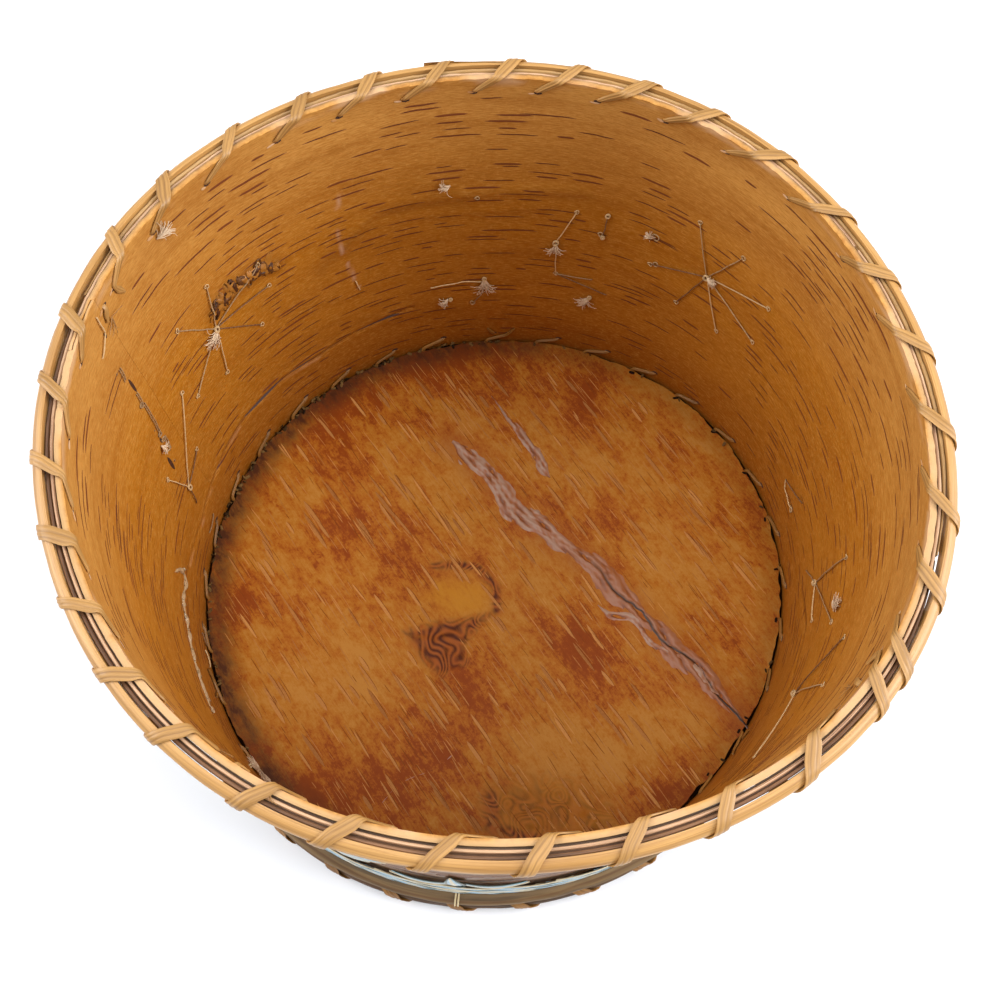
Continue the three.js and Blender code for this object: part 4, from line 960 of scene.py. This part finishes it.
def make_ties():
    """The three clear ties that hold the upper hoop, and each one's run inside the wall."""
    finish = shaded("sinew_dried_clear", "#D8C7A0", "#B89A68", 0.25)
    path = even_path([(-0.35, 8.7), (2.1, 8.7), (5.4, 9.2), (7.3, 11.8), (5.4, 14.4), (2.1, 14.9),
                      (-0.35, 14.9), (-0.35, 8.7)], 0.5, 0.8)
    for i, loops in enumerate((1.5, 5.5, 9.5)):
        angle = foot_holes()[1][0] - FOOT_PITCH * loops
        strands = [place(angle + shift, path[:, 1], path[:, 0]) for shift in (-0.25, 0.25)]
        make_piece(f"sinew_tie_{i + 1}", [cords(strands, 0.3, shade=0.4)], finish, "sinew",
                   f"hoop_tie_{i + 1}")


# Threads on the inner face, by (angle, height): the centre and ends of a star's or spray's legs, single tufts
# with reach and lean, rings with radius, and loose lengths
STARS = (
    ((54, 74.8), ((58, 97), (48.7, 95), (41, 84), (41.5, 63), (49, 53), (58.3, 53.5), (65, 65.4))),
    ((150.7, 77.2), ((157.5, 92.5), (149, 95.5), (139, 87.5), (138.3, 76), (142, 61), (152.2, 55),
                     (160, 61.3))),
    ((334.5, 52.7), ((340, 85.5), (331.5, 86.5), (320.3, 60))),
)
SPRAYS = (
    ((82.9, 63.8), ((79.7, 80.3), (82.4, 47))),
    ((172.3, 38.9), ((175.6, 57), (162.6, 71), (165.9, 44))),
    ((357.6, 41.9), ((356.5, 71), (346, 66), (350.5, 42))),
)
TUFTS = ((102.4, 91.7, 4, 0), (104, 31.7, 4, -40), (96.5, 42, 8, -90), (75.1, 37.4, 6, -60),
         (153.4, 128, 6, 160), (347.7, 66.6, 6, 60), (82.9, 63, 5, -90), (65.1, 79.5, 3.5, 20),
         (150.7, 77, 7, -30), (54, 75, 4, 175), (172.4, 69.1, 3, -90), (225, 8.5, 7, 165),
         (225, 8.5, 7, 100), (225, 8.5, 5, 20))
RINGS = ((65.1, 79.5, 1.3), (64, 66.5, 0.9), (97.7, 84.9, 0.8), (75, 72, 0.8), (99, 28, 0.9),
         (171.5, 64, 1.2), (15.9, 25.2, 1.0))
KNOTS = ((74.1, 82), (74.4, 71), (75.1, 37.5), (96.5, 42), (103.5, 31.5))
LOOSE = (((74.1, 81.9), (74.4, 71)), ((107.5, 39.3), (101, 41), (96.5, 40)),
         ((99, 27.7), (97, 34), (96.5, 40)), ((21, 29.7), (14.1, 37.4)), ((21, 29.7), (20, 27), (15.9, 25.2)),
         ((82.4, 47), (75.1, 47.4)), ((82.4, 47), (71.9, 41.1)), ((169, 132), (169.4, 124.6), (172.4, 120.5)),
         ((362.3, 31), (360, 37), (357.6, 41.9)), ((172.9, 28.6), (172.3, 39)), ((122, 55.5), (121.5, 50)),
         ((171, 12.5), (174.8, 11)), ((195, 10), (197.5, 7.4), (196.4, 5)), ((198.5, 9), (201.5, 6.2)))


def thread_shell(points, seed, shade, radius=None, lift=0.45):
    """A thread laid over the bark through (angle, height) points, drawn tight but with a slight wander,
    standing off the wall by lift at its middle. Its radius swells and thins as that of two plies does."""
    path = even_path(on_wall(points), 0.7, 1.2 if len(points) > 2 else 0)
    t = np.linspace(0, 1, len(path))
    arch = np.sin(np.pi * t)
    bend = 0.22 if len(points) > 2 else 0.07
    u, v = (path[:, i] + bend * ripple((t * 20,), 9, seed + i) * arch for i in (0, 1))
    radius = (radius or size("thread") / 2) * (1 + 0.12 * np.sin(np.arange(len(path)) * 2.1))
    return cords(inside(u / ARC, v, -0.22 - lift * arch ** 0.6), radius, shade=shade)


def ring_shell(angle, z, radius, seed, shade, turns=1.15, thick=0.2):
    """A little ring of thread round a stitch hole: a circle that wanders a little, lying on the bark."""
    turn = np.linspace(0, 2 * np.pi * turns, 22)
    reach = radius * (1 + 0.2 * ripple((turn * 3,), 7, seed))
    u, v = reach * np.cos(turn), reach * np.sin(turn)
    return cords(inside(angle + u / ARC, z + v, -0.25 - 0.12 * np.sin(turn * 2)), thick, 5, shade=shade)


def knot_shell(angle, z, seed, radius=0.95):
    """A knot: four small rings of thread wound over each other."""
    turn = np.linspace(0, 2 * np.pi, 17)[:-1]
    tilt = np.random.default_rng(seed).uniform(0, np.pi, 4)[:, None]
    u, v = turned(np.degrees(tilt), radius * np.cos(turn), radius * np.sin(turn) * np.cos(tilt * 0.5))
    out = 0.5 * radius * np.sin(turn) * np.sin(tilt * 2) - 0.75
    return cords(inside(angle + u / ARC, z + v, out), 0.27, closed=True, shade=0.25)


def tuft_shell(angle, z, reach, lean, seed, count=46, spread=17):
    """A brush of fine fibres that fans out from a knot: each one bends by the square of its length."""
    rng = np.random.default_rng(seed)
    turn = lean + rng.normal(0, spread, count)[:, None]
    long = reach * rng.uniform(0.55, 1.1, count)[:, None]
    t = np.linspace(0, 1, 7)
    u, v = turned(turn + np.degrees(rng.normal(0, 0.35, count))[:, None] * t ** 2, long * t)
    away = -0.3 - rng.uniform(0.1, 1.6, count)[:, None] * t - 0.5 * np.sin(np.pi * t)
    shade = rng.uniform(0, 0.35, count)
    return cords(inside(angle + u / ARC, z + v, away), 0.16 * (1 - 0.5 * t), 4, shade=shade)


def make_threads():
    """The sewing threads of the quilled flowers, with their rings, knots and tufts, and the loose ends."""
    finish = shaded("sewing_thread_waxed", "thread_pale", "thread_dark", 0.7)
    rng = np.random.default_rng(121)
    for kind, group in (("star", STARS), ("spray", SPRAYS)):
        for i, (middle, tips) in enumerate(group):
            parts = [knot_shell(*middle, 130 + i)]
            for k, tip in enumerate(tips):
                parts.append(thread_shell((middle, tip), 140 + 10 * i + k, rng.choice([0.05, 0.4, 0.6, 0.9])))
                parts.append(ring_shell(*tip, 0.78, 150 + k, 0.15, 1.1, 0.15))
            make_piece(f"{kind}_threads_{i + 1}", parts, finish, "thread", f"thread_{kind}_{i + 1}")
    fluff = shaded("sewing_thread_fluffed_ends", "#DCC4A6", "#A8845E", 0.8)
    make_piece("thread_tufts", [tuft_shell(*tuft, 160 + i) for i, tuft in enumerate(TUFTS)], fluff, "thread")
    parts = [ring_shell(*ring, 170 + i, 0.3) for i, ring in enumerate(RINGS)]
    parts += [thread_shell(points, 180 + i, (0.85, 0.1, 0.7)[i % 3]) for i, points in enumerate(LOOSE)]
    parts += [knot_shell(angle, z, int(angle * 10), 0.7) for angle, z in KNOTS]
    make_piece("loose_threads", parts, finish, "thread")


def make_seam():
    """The running stitch up the side seam, inside and outside by turns, with the dark slits beside it,
    slivers of painted shade.
    """
    angle, holes = 171.6, (110, 96.6, 89.7, 76.3, 69.4, 56)
    runs = (110, 104.5), (96.3, 90.1), (90.1, 72.1), (69, 62)
    parts = [thread_shell(((angle - 1 + s, a), (angle - 0.6 + s, b)), 191 + i, 0.45, 0.16, 0.25)
             for i, (a, b) in enumerate(runs) for s in (-0.2, 0.2)]
    parts += [ring_shell(171.2, z, 0.9, 195 + i, 0.4, 1.2) for i, z in enumerate((91, 72.5, 69))]
    outer = [place(angle, np.linspace(a, b, 20), 2.2 + 0.25 * np.sin(np.linspace(0, np.pi, 20)))
             for a, b in (holes[1:3], holes[3:5])]
    through = [place(angle, z, np.linspace(-0.2, 2.2, 6)) for z in holes]
    parts += [cords(outer, 0.42, shade=0.2), cords(through, 0.4, shade=0.2)]
    make_piece("seam_thread", parts, shaded("seam_thread_dark", "thread_dark", "thread_pale", 0.65), "thread",
               "seam_stitch")
    # dark slivers: painted shade in the seam's slits
    slits = wall_lens([170.3, 171.6, 172.6, 169.3], [99.5, 70, 57.5, 123.5], [3.6, 1.4, 4.2, 1.2],
                      [0.6, 0.5, 0.8, 0.5], -0.02, shade=0.3)
    make_piece("seam_slits", [slits], shaded("seam_slits_dark", "#2A1408", "#5A3014", 0.7), "inner_bark")


# Quillwork on the outer face: flowers as (angle, share of the height), sprigs as a centre (angle, height) and
# each leaf's direction in degrees and length
BAND_ROWS = 4
FLOWERS = ((54, 0.55), (150.7, 0.57), (246, 0.5), (334, 0.52))
SPRIGS = (
    ((82.9, 63.9), ((110, 17.6), (225, 22), (267, 16.6))),
    ((172.5, 39.4), ((72, 17.6), (120, 22), (161, 13))),
    ((357.6, 42.2), ((90, 22), (125, 22), (179, 13))),
    ((268, 38.1), ((12, 22), (98, 18), (170, 22))),
)


def quill_shell(angle, z, out, width, thickness, **marks):
    """Flat quills along paths on the wall: a lens section, width across the path, thickness off the wall."""
    paths, normals = place(angle, z, out), np.stack(np.broadcast_arrays(*turned(angle), 0.0), -1)
    across = unit(np.cross(unit(np.gradient(paths, axis=1)), normals))
    turn = np.linspace(0, 2 * np.pi, 8, endpoint=False)[:, None]
    half = np.broadcast_to(width, angle.shape)[..., None, None] / 2
    return shell(paths[:, :, None] + across[:, :, None] * half * np.cos(turn)
                 + normals[:, :, None] * thickness / 2 * np.sin(turn), **marks)


def quill_row(row, z, shade, rng):
    """A row of laid quills round the foot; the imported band's four rows are closer than those above."""
    t = np.linspace(0, 1, 13)
    pitch, reach = (6.0, 7.6) if row < BAND_ROWS else (10.0, 13)
    starts = np.arange(0, 360, pitch)
    angle = starts[:, None] + row * 1.7 + reach * t
    z = z + 0.45 * (t - 0.5) * (1 if row % 2 else -1) + 0.3 * np.sin(np.pi * (2 * t + row))
    out = 2.75 + 0.45 * np.sin(np.pi * t)
    width = size("quill") * 0.75 * np.sqrt(np.clip(np.sin(np.pi * t), 0.05, 1))
    tint = np.where(rng.uniform(0, 1, len(starts)) < 0.18, 0.5, shade)
    grain = grain_at(angle * ARC, z, out)[:, :, None]
    return quill_shell(angle, z, out, width, 0.5, surface=grain, shade=tint)


def quill_leaves(angle, z, turns, reach, start, spread, lanes):
    """Leaves or petals of flat quills side by side, which leave the middle together, bow apart by the sine of
    their length and meet again at the tip; their sides are green and their middle is cream."""
    t = np.linspace(0, 1, 15)
    lane = np.linspace(-1, 1, lanes)[None, :, None]
    turn = np.asarray(turns, float)[:, None, None]
    along = start + (reach - start - 0.3 - 1.2 * np.abs(lane)) * t + 0 * turn
    aside = lane * spread * np.sin(np.pi * t ** 0.8) ** 0.9
    u, v = turned(turn, along, aside)
    out = 2.5 + 0.85 * np.sin(np.pi * t) + 0.3 * (1 - np.abs(lane)) + 0 * u
    grain = grain_at(along, aside, np.radians(turn) * 9).reshape(-1, 15, 1, 3)
    shade = np.where(np.abs(lane) > 0.9, 0.8, np.where(np.abs(lane) < 0.1, 0.5, 0.1)) + 0 * turn
    u, v, out = (value.reshape(-1, 15) for value in (u, v, out))
    a = angle + u / ARC
    width = size("quill") * (0.42 + 0.5 * np.sin(np.pi * t ** 0.8))
    return quill_shell(a, z + v, out + relief(a, z + v), width, 0.45, surface=grain, shade=shade.ravel())


def quill_boss(angle, z, reach):
    """The middle of a flower or sprig: ten short dark quills that cross there, higher in the middle."""
    t = np.linspace(-1, 1, 9)
    u, v = turned(36.0 * np.arange(10)[:, None], reach * t)
    a, v = angle + u / ARC, z + v
    return quill_shell(a, v, 3.2 + 0.5 * (1 - t ** 2) + relief(a, v), 0.32 * reach, 0.5, surface=0, shade=0.9)


def make_quills():
    """Rows of laid quills above the upper hoop, and flowers and sprigs of flattened quills on the wall."""
    finish = flat_quill()
    rng = np.random.default_rng(201)
    above = [(19.8 + 1.3 * i, (0.1, 0.8, 0.1, 0.1, 0.5, 0.8)[i % 6]) for i in range(11)]
    rows = [quill_row(row, z, shade, rng)
            for row, (z, shade) in enumerate([(15.9, 0.1), (16.8, 0.8), (17.7, 0.1), (18.6, 0.5), *above])]
    make_piece("quill_rows", rows[:BAND_ROWS], finish, "quill", "quill_band")
    make_piece("quill_rows_above", rows[BAND_ROWS:], finish, "quill")
    for i, (angle, share) in enumerate(FLOWERS):
        z = share * size("height")
        petals = quill_leaves(angle, z, 45.0 * np.arange(8), 22, 2.2, 3.6, 7)
        make_piece(f"quilled_flower_{i + 1}", [petals, quill_boss(angle, z, 3.4)], finish, "quill",
                   f"quill_flower_{i + 1}")
    for i, ((angle, z), leaves) in enumerate(SPRIGS):
        parts = [quill_leaves(angle, z, [turn], reach, 1.0, 2.5, 5) for turn, reach in leaves]
        make_piece(f"quilled_sprig_{i + 1}", [*parts, quill_boss(angle, z, 1.9)], finish, "quill",
                   f"quill_sprig_{i + 1}")


# Glue and crumbs

def bead_rows(points, reach, height, wander, seed, sides=14):
    """Beads at points: rings that swell by the square root of the sine along the bead, low and uneven. Gives
    their level coordinates and their height."""
    t = np.linspace(0.02, 0.98, 11)
    swell = np.sqrt(np.sin(np.pi * t))[:, None]
    turn = np.linspace(0, 2 * np.pi, sides, endpoint=False)
    lean = np.random.default_rng(seed).uniform(0, 180, len(points))[:, None, None]
    uneven = 1 + wander * ripple((turn * 3 + 9 * np.arange(len(points))[:, None],), 5, seed)[:, None]
    reach = np.asarray(reach)[:, None, None] * uneven
    u, v = turned(lean, np.cos(np.pi * t)[:, None] * reach * 1.3, swell * np.cos(turn) * reach * 0.7)
    return points[:, 0, None, None] + u, points[:, 1, None, None] + v, swell * np.sin(turn) * height + 0 * u


def make_glue():
    """Old glue: beads along the crease and the foot of the wall, crumbs at the edge of the bottom, and dark
    spots by the foot holes, painted shade of the holes.
    """
    rng = np.random.default_rng(211)
    path = even_path(on_wall(GLUE_RUN), 0.5, 2.0)
    run = 0.5 * np.arange(len(path))
    reach = (0.78 + 0.24 * ripple((run,), 6, 214)) * (0.2 + 0.8 * ramp(np.minimum(run, run[-1] - run), 0, 5))
    trail = cords(inside(path[:, 0] / ARC, path[:, 1], 0.1), reach, 10, shade=0.25)
    count = 16
    spots = path[rng.choice(len(path), count)] + rng.normal(0, 0.6, (count, 2))
    u, v, w = bead_rows(spots, rng.uniform(0.4, 1.1, count), 0.6, 0.25, 212)
    turn = np.concatenate([rng.uniform(95, 205, 100), rng.uniform(0, 360, 30)])
    edge = place(turn, 3.4, -rng.uniform(0.3, 2.0, len(turn)))
    x, y, lift = bead_rows(edge, rng.uniform(0.25, 0.8, len(turn)), 0.45, 0.3, 213, 9)
    crumbs = np.stack([x, y, 3.75 + lift], -1)
    # near black spots by the foot holes in the bottom: painted shade of the holes
    holes = np.concatenate(foot_holes()) + 0.42 * FOOT_PITCH
    holes = place(holes[np.cos(np.radians(holes + 25)) > 0], 3.4, -2.0)
    x, y, lift = bead_rows(holes, rng.uniform(0.5, 0.9, len(holes)), 0.2, 0.2, 215, 12)
    hole_shade_spots = np.stack([x, y, disc_height(x, y) + lift], -1)
    beads = shell(inside(u / ARC, v, -w - 0.2), shade=rng.uniform(0, 0.7, count))
    make_piece("glue_run", [trail, beads],
               shaded("old_glue_clear_and_grey", "#BC9E78", "#86704E", 0.14, IOR=1.49), "inner_bark")
    make_piece("edge_crumbs_and_hole_shade", [shell(crumbs, shade=rng.uniform(0, 1, len(turn))), shell(hole_shade_spots, shade=1.3)],
               shaded("dust_crumbs_and_painted_hole_shade", "#7A5C34", "#1C0E06", 0.8, Specular_IOR_Level=0.1), "disc_bark")


def make_knot_scar():
    """The knot scar in the wall: torn lumps of bark and resin heaped along a line, and curls between; its
    darker lumps stand for the pits, painted shade.
    """
    rng = np.random.default_rng(261)
    line = even_path(on_wall(WALL_KNOT), 0.55)
    spots = line + rng.normal(0, 1, line.shape) * (0.8, 1.5)
    count = len(spots)
    u, v, w = bead_rows(spots, rng.uniform(0.6, 1.9, count), rng.uniform(0.25, 0.7, (count, 1, 1)), 0.45, 262)
    # the dark lumps are painted shade of the knot's pits
    dark = rng.uniform(0, 1, count) < 0.45
    shade = np.where(dark, rng.uniform(0.75, 1, count), rng.uniform(0, 0.35, count))
    parts = [shell(inside(u / ARC, v, -w - 0.1), shade=shade)]
    parts += [ring_shell(line[at, 0] / ARC, line[at, 1] + rng.normal(0, 2), rng.uniform(0.9, 2.2), 270 + i,
                         rng.choice([0.0, 0.2, 0.8]), rng.uniform(0.5, 1.1), 0.28)
              for i, at in enumerate(rng.choice(len(line), 9))]
    finish = shaded("knot_scar_resin_bark_and_pit_shade", "#A66C22", "#3A1A0A", 0.5)
    make_piece("knot_scar", parts, finish, "inner_bark")


# Floor, light and camera

def studio_floor():
    """Pale matt floor, with a glow that only the camera sees, from 0.45 m out, which keeps the far floor as
    white as the near floor."""
    material, node = start_material("studio_floor_matt", 0.9, Base_Color=paint("#F3F5F9"),
                                    Emission_Color=(1, 1, 1, 1))
    away = node("VectorMath", (node("TexCoord", output="Object"),), "Value", operation="LENGTH")
    glow = node("MapRange", (away, 0.45, 1.6, 0, 0.6))
    glow = node("Math", (glow, node("LightPath", output="Is Camera Ray")), operation="MULTIPLY")
    return end_material(material, node, Emission_Strength=glow)


def make_stage():
    """Pale floor, a broad soft lamp overhead, even studio light and the camera above the near rim."""
    scene = bpy.context.scene
    mesh = bpy.data.meshes.new("floor")
    mesh.from_pydata([(-3, -3, 0), (3, -3, 0), (3, 3, 0), (-3, 3, 0)], [], [(0, 1, 2, 3)])
    mesh.materials.append(studio_floor())
    floor = bpy.data.objects.new("floor", mesh)
    scene.collection.objects.link(floor)
    scene.world = bpy.data.worlds.new("studio")
    scene.world.use_nodes = True
    tree = scene.world.node_tree
    background = tree.nodes["Background"]
    background.inputs["Color"].default_value = paint("#FBFCFF")
    # the world lights with 0.5 and is seen with 0.95
    seen = add(tree, "LightPath", output="Is Camera Ray")
    strength = add(tree, "Math", (seen, 0.45, 0.5), operation="MULTIPLY_ADD")
    tree.links.new(strength, background.inputs["Strength"])
    for name, at, aim, power, breadth in (("overhead_lamp", (0.0, 0.04, 1.4), (0, -0.02, 0), 9.5, 1.2),
                                          ("left_lamp", (-1.0, 0.0, 0.75), (0, 0, 0.1), 12, 0.8),
                                          ("right_lamp", (1.0, 0.0, 0.75), (0, 0, 0.1), 17, 0.8)):
        lamp = bpy.data.lights.new(name, "AREA")
        lamp.energy, lamp.size = power, breadth
        piece = bpy.data.objects.new(name, lamp)
        facing = (Vector(aim) - Vector(at)).to_track_quat("-Z", "Y").to_matrix().to_4x4()
        piece.matrix_world = Matrix.Translation(at) @ facing
        scene.collection.objects.link(piece)
    lens = bpy.data.cameras.new("camera")
    lens.sensor_width, lens.lens = 36, 46.14
    camera = bpy.data.objects.new("camera", lens)
    pan, dip, roll = 0.49, 67.35, 4.77
    level, drop = turned(dip)
    ahead = np.array([*turned(90 - pan, level), -drop])
    right = unit(np.cross(ahead, (0, 0, 1)))
    cos, sin = turned(roll)
    above = np.cross(right, ahead)
    pose = np.eye(4)
    pose[:3, :3] = np.stack([cos * right + sin * above, cos * above - sin * right, -ahead], 1)
    pose[:3, 3] = (0.001036, -0.152215, 0.43916)
    camera.matrix_world = Matrix(pose.tolist())
    scene.collection.objects.link(camera)
    scene.camera = camera
    scene.view_settings.view_transform = "Standard"


# Operators, panel and registration

class BarkOperator:
    """What every operator of this box shares: it runs its makers in order."""
    bl_options = {"REGISTER", "UNDO"}
    makers = ()

    def execute(self, context):
        for maker in self.makers:
            maker()
        return {"FINISHED"}


class BARKBOX_OT_wall(BarkOperator, Operator):
    """Makes the bark wall with its pore dashes, and the awl slits in it"""
    bl_idname = "barkbox.wall"
    bl_label = "Bark Wall"
    makers = (make_wall, make_dashes, make_holes)


class BARKBOX_OT_bottom(BarkOperator, Operator):
    """Makes the bark bottom with its pale dashes and the glue in its crack"""
    bl_idname = "barkbox.bottom"
    bl_label = "Bark Bottom"
    makers = (make_disc, make_disc_dashes, make_crack)


class BARKBOX_OT_rim(BarkOperator, Operator):
    """Makes the band, splints and hoop at the rim"""
    bl_idname = "barkbox.rim"
    bl_label = "Rim Band, Splints and Hoop"
    makers = (make_rim_strips,)


class BARKBOX_OT_foot(BarkOperator, Operator):
    """Makes the two hoops at the foot"""
    bl_idname = "barkbox.foot"
    bl_label = "Foot Hoops"
    makers = (make_foot_hoops,)


class BARKBOX_OT_root(BarkOperator, Operator):
    """Makes the root lashings at rim and foot, and their frayed fibres"""
    bl_idname = "barkbox.root"
    bl_label = "Root Lashings"
    makers = (make_lashings, make_frays)


class BARKBOX_OT_stitches(BarkOperator, Operator):
    """Makes the ties, the seam stitch and the sewing threads"""
    bl_idname = "barkbox.stitches"
    bl_label = "Ties, Seam and Threads"
    makers = (make_ties, make_seam, make_threads)


class BARKBOX_OT_quills(BarkOperator, Operator):
    """Makes the rows of quills and the quilled flowers"""
    bl_idname = "barkbox.quills"
    bl_label = "Quillwork"
    makers = (make_quills,)


class BARKBOX_OT_glue(BarkOperator, Operator):
    """Makes the old glue on the wall, the crumbs at the bottom's edge and the knot scar"""
    bl_idname = "barkbox.glue"
    bl_label = "Old Glue"
    makers = (make_glue, make_knot_scar)


class BARKBOX_OT_stage(BarkOperator, Operator):
    """Makes the floor, the light and the camera"""
    bl_idname = "barkbox.stage"
    bl_label = "Floor, Light and Camera"
    makers = (make_stage,)


OPERATORS = (BARKBOX_OT_wall, BARKBOX_OT_bottom, BARKBOX_OT_rim, BARKBOX_OT_foot, BARKBOX_OT_root,
             BARKBOX_OT_stitches, BARKBOX_OT_quills, BARKBOX_OT_glue, BARKBOX_OT_stage)


class BARKBOX_PT_panel(Panel):
    """Lists the box's sizes, colours and pieces in the 3D view's sidebar"""
    bl_idname = "BARKBOX_PT_panel"
    bl_label = "Bark Box"
    bl_space_type = "VIEW_3D"
    bl_region_type = "UI"
    bl_category = "Bark Box"

    def draw(self, context):
        for group in (context.scene.bark_box_sizes, context.scene.bark_box_colours):
            for name in group.__annotations__:
                self.layout.prop(group, name)
        for operator in OPERATORS:
            self.layout.operator(operator.bl_idname)


CLASSES = (BarkBoxSizes, BarkBoxColours, *OPERATORS, BARKBOX_PT_panel)


def register():
    for item in CLASSES:
        bpy.utils.register_class(item)
    bpy.types.Scene.bark_box_sizes = PointerProperty(type=BarkBoxSizes)
    bpy.types.Scene.bark_box_colours = PointerProperty(type=BarkBoxColours)


def unregister():
    del bpy.types.Scene.bark_box_colours
    del bpy.types.Scene.bark_box_sizes
    for item in reversed(CLASSES):
        bpy.utils.unregister_class(item)


def main():
    """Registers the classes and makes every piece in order."""
    register()
    for name in ("wall", "bottom", "rim", "foot", "root", "stitches", "quills", "glue", "stage"):
        getattr(bpy.ops.barkbox, name)()


if __name__ == "__main__":
    main()
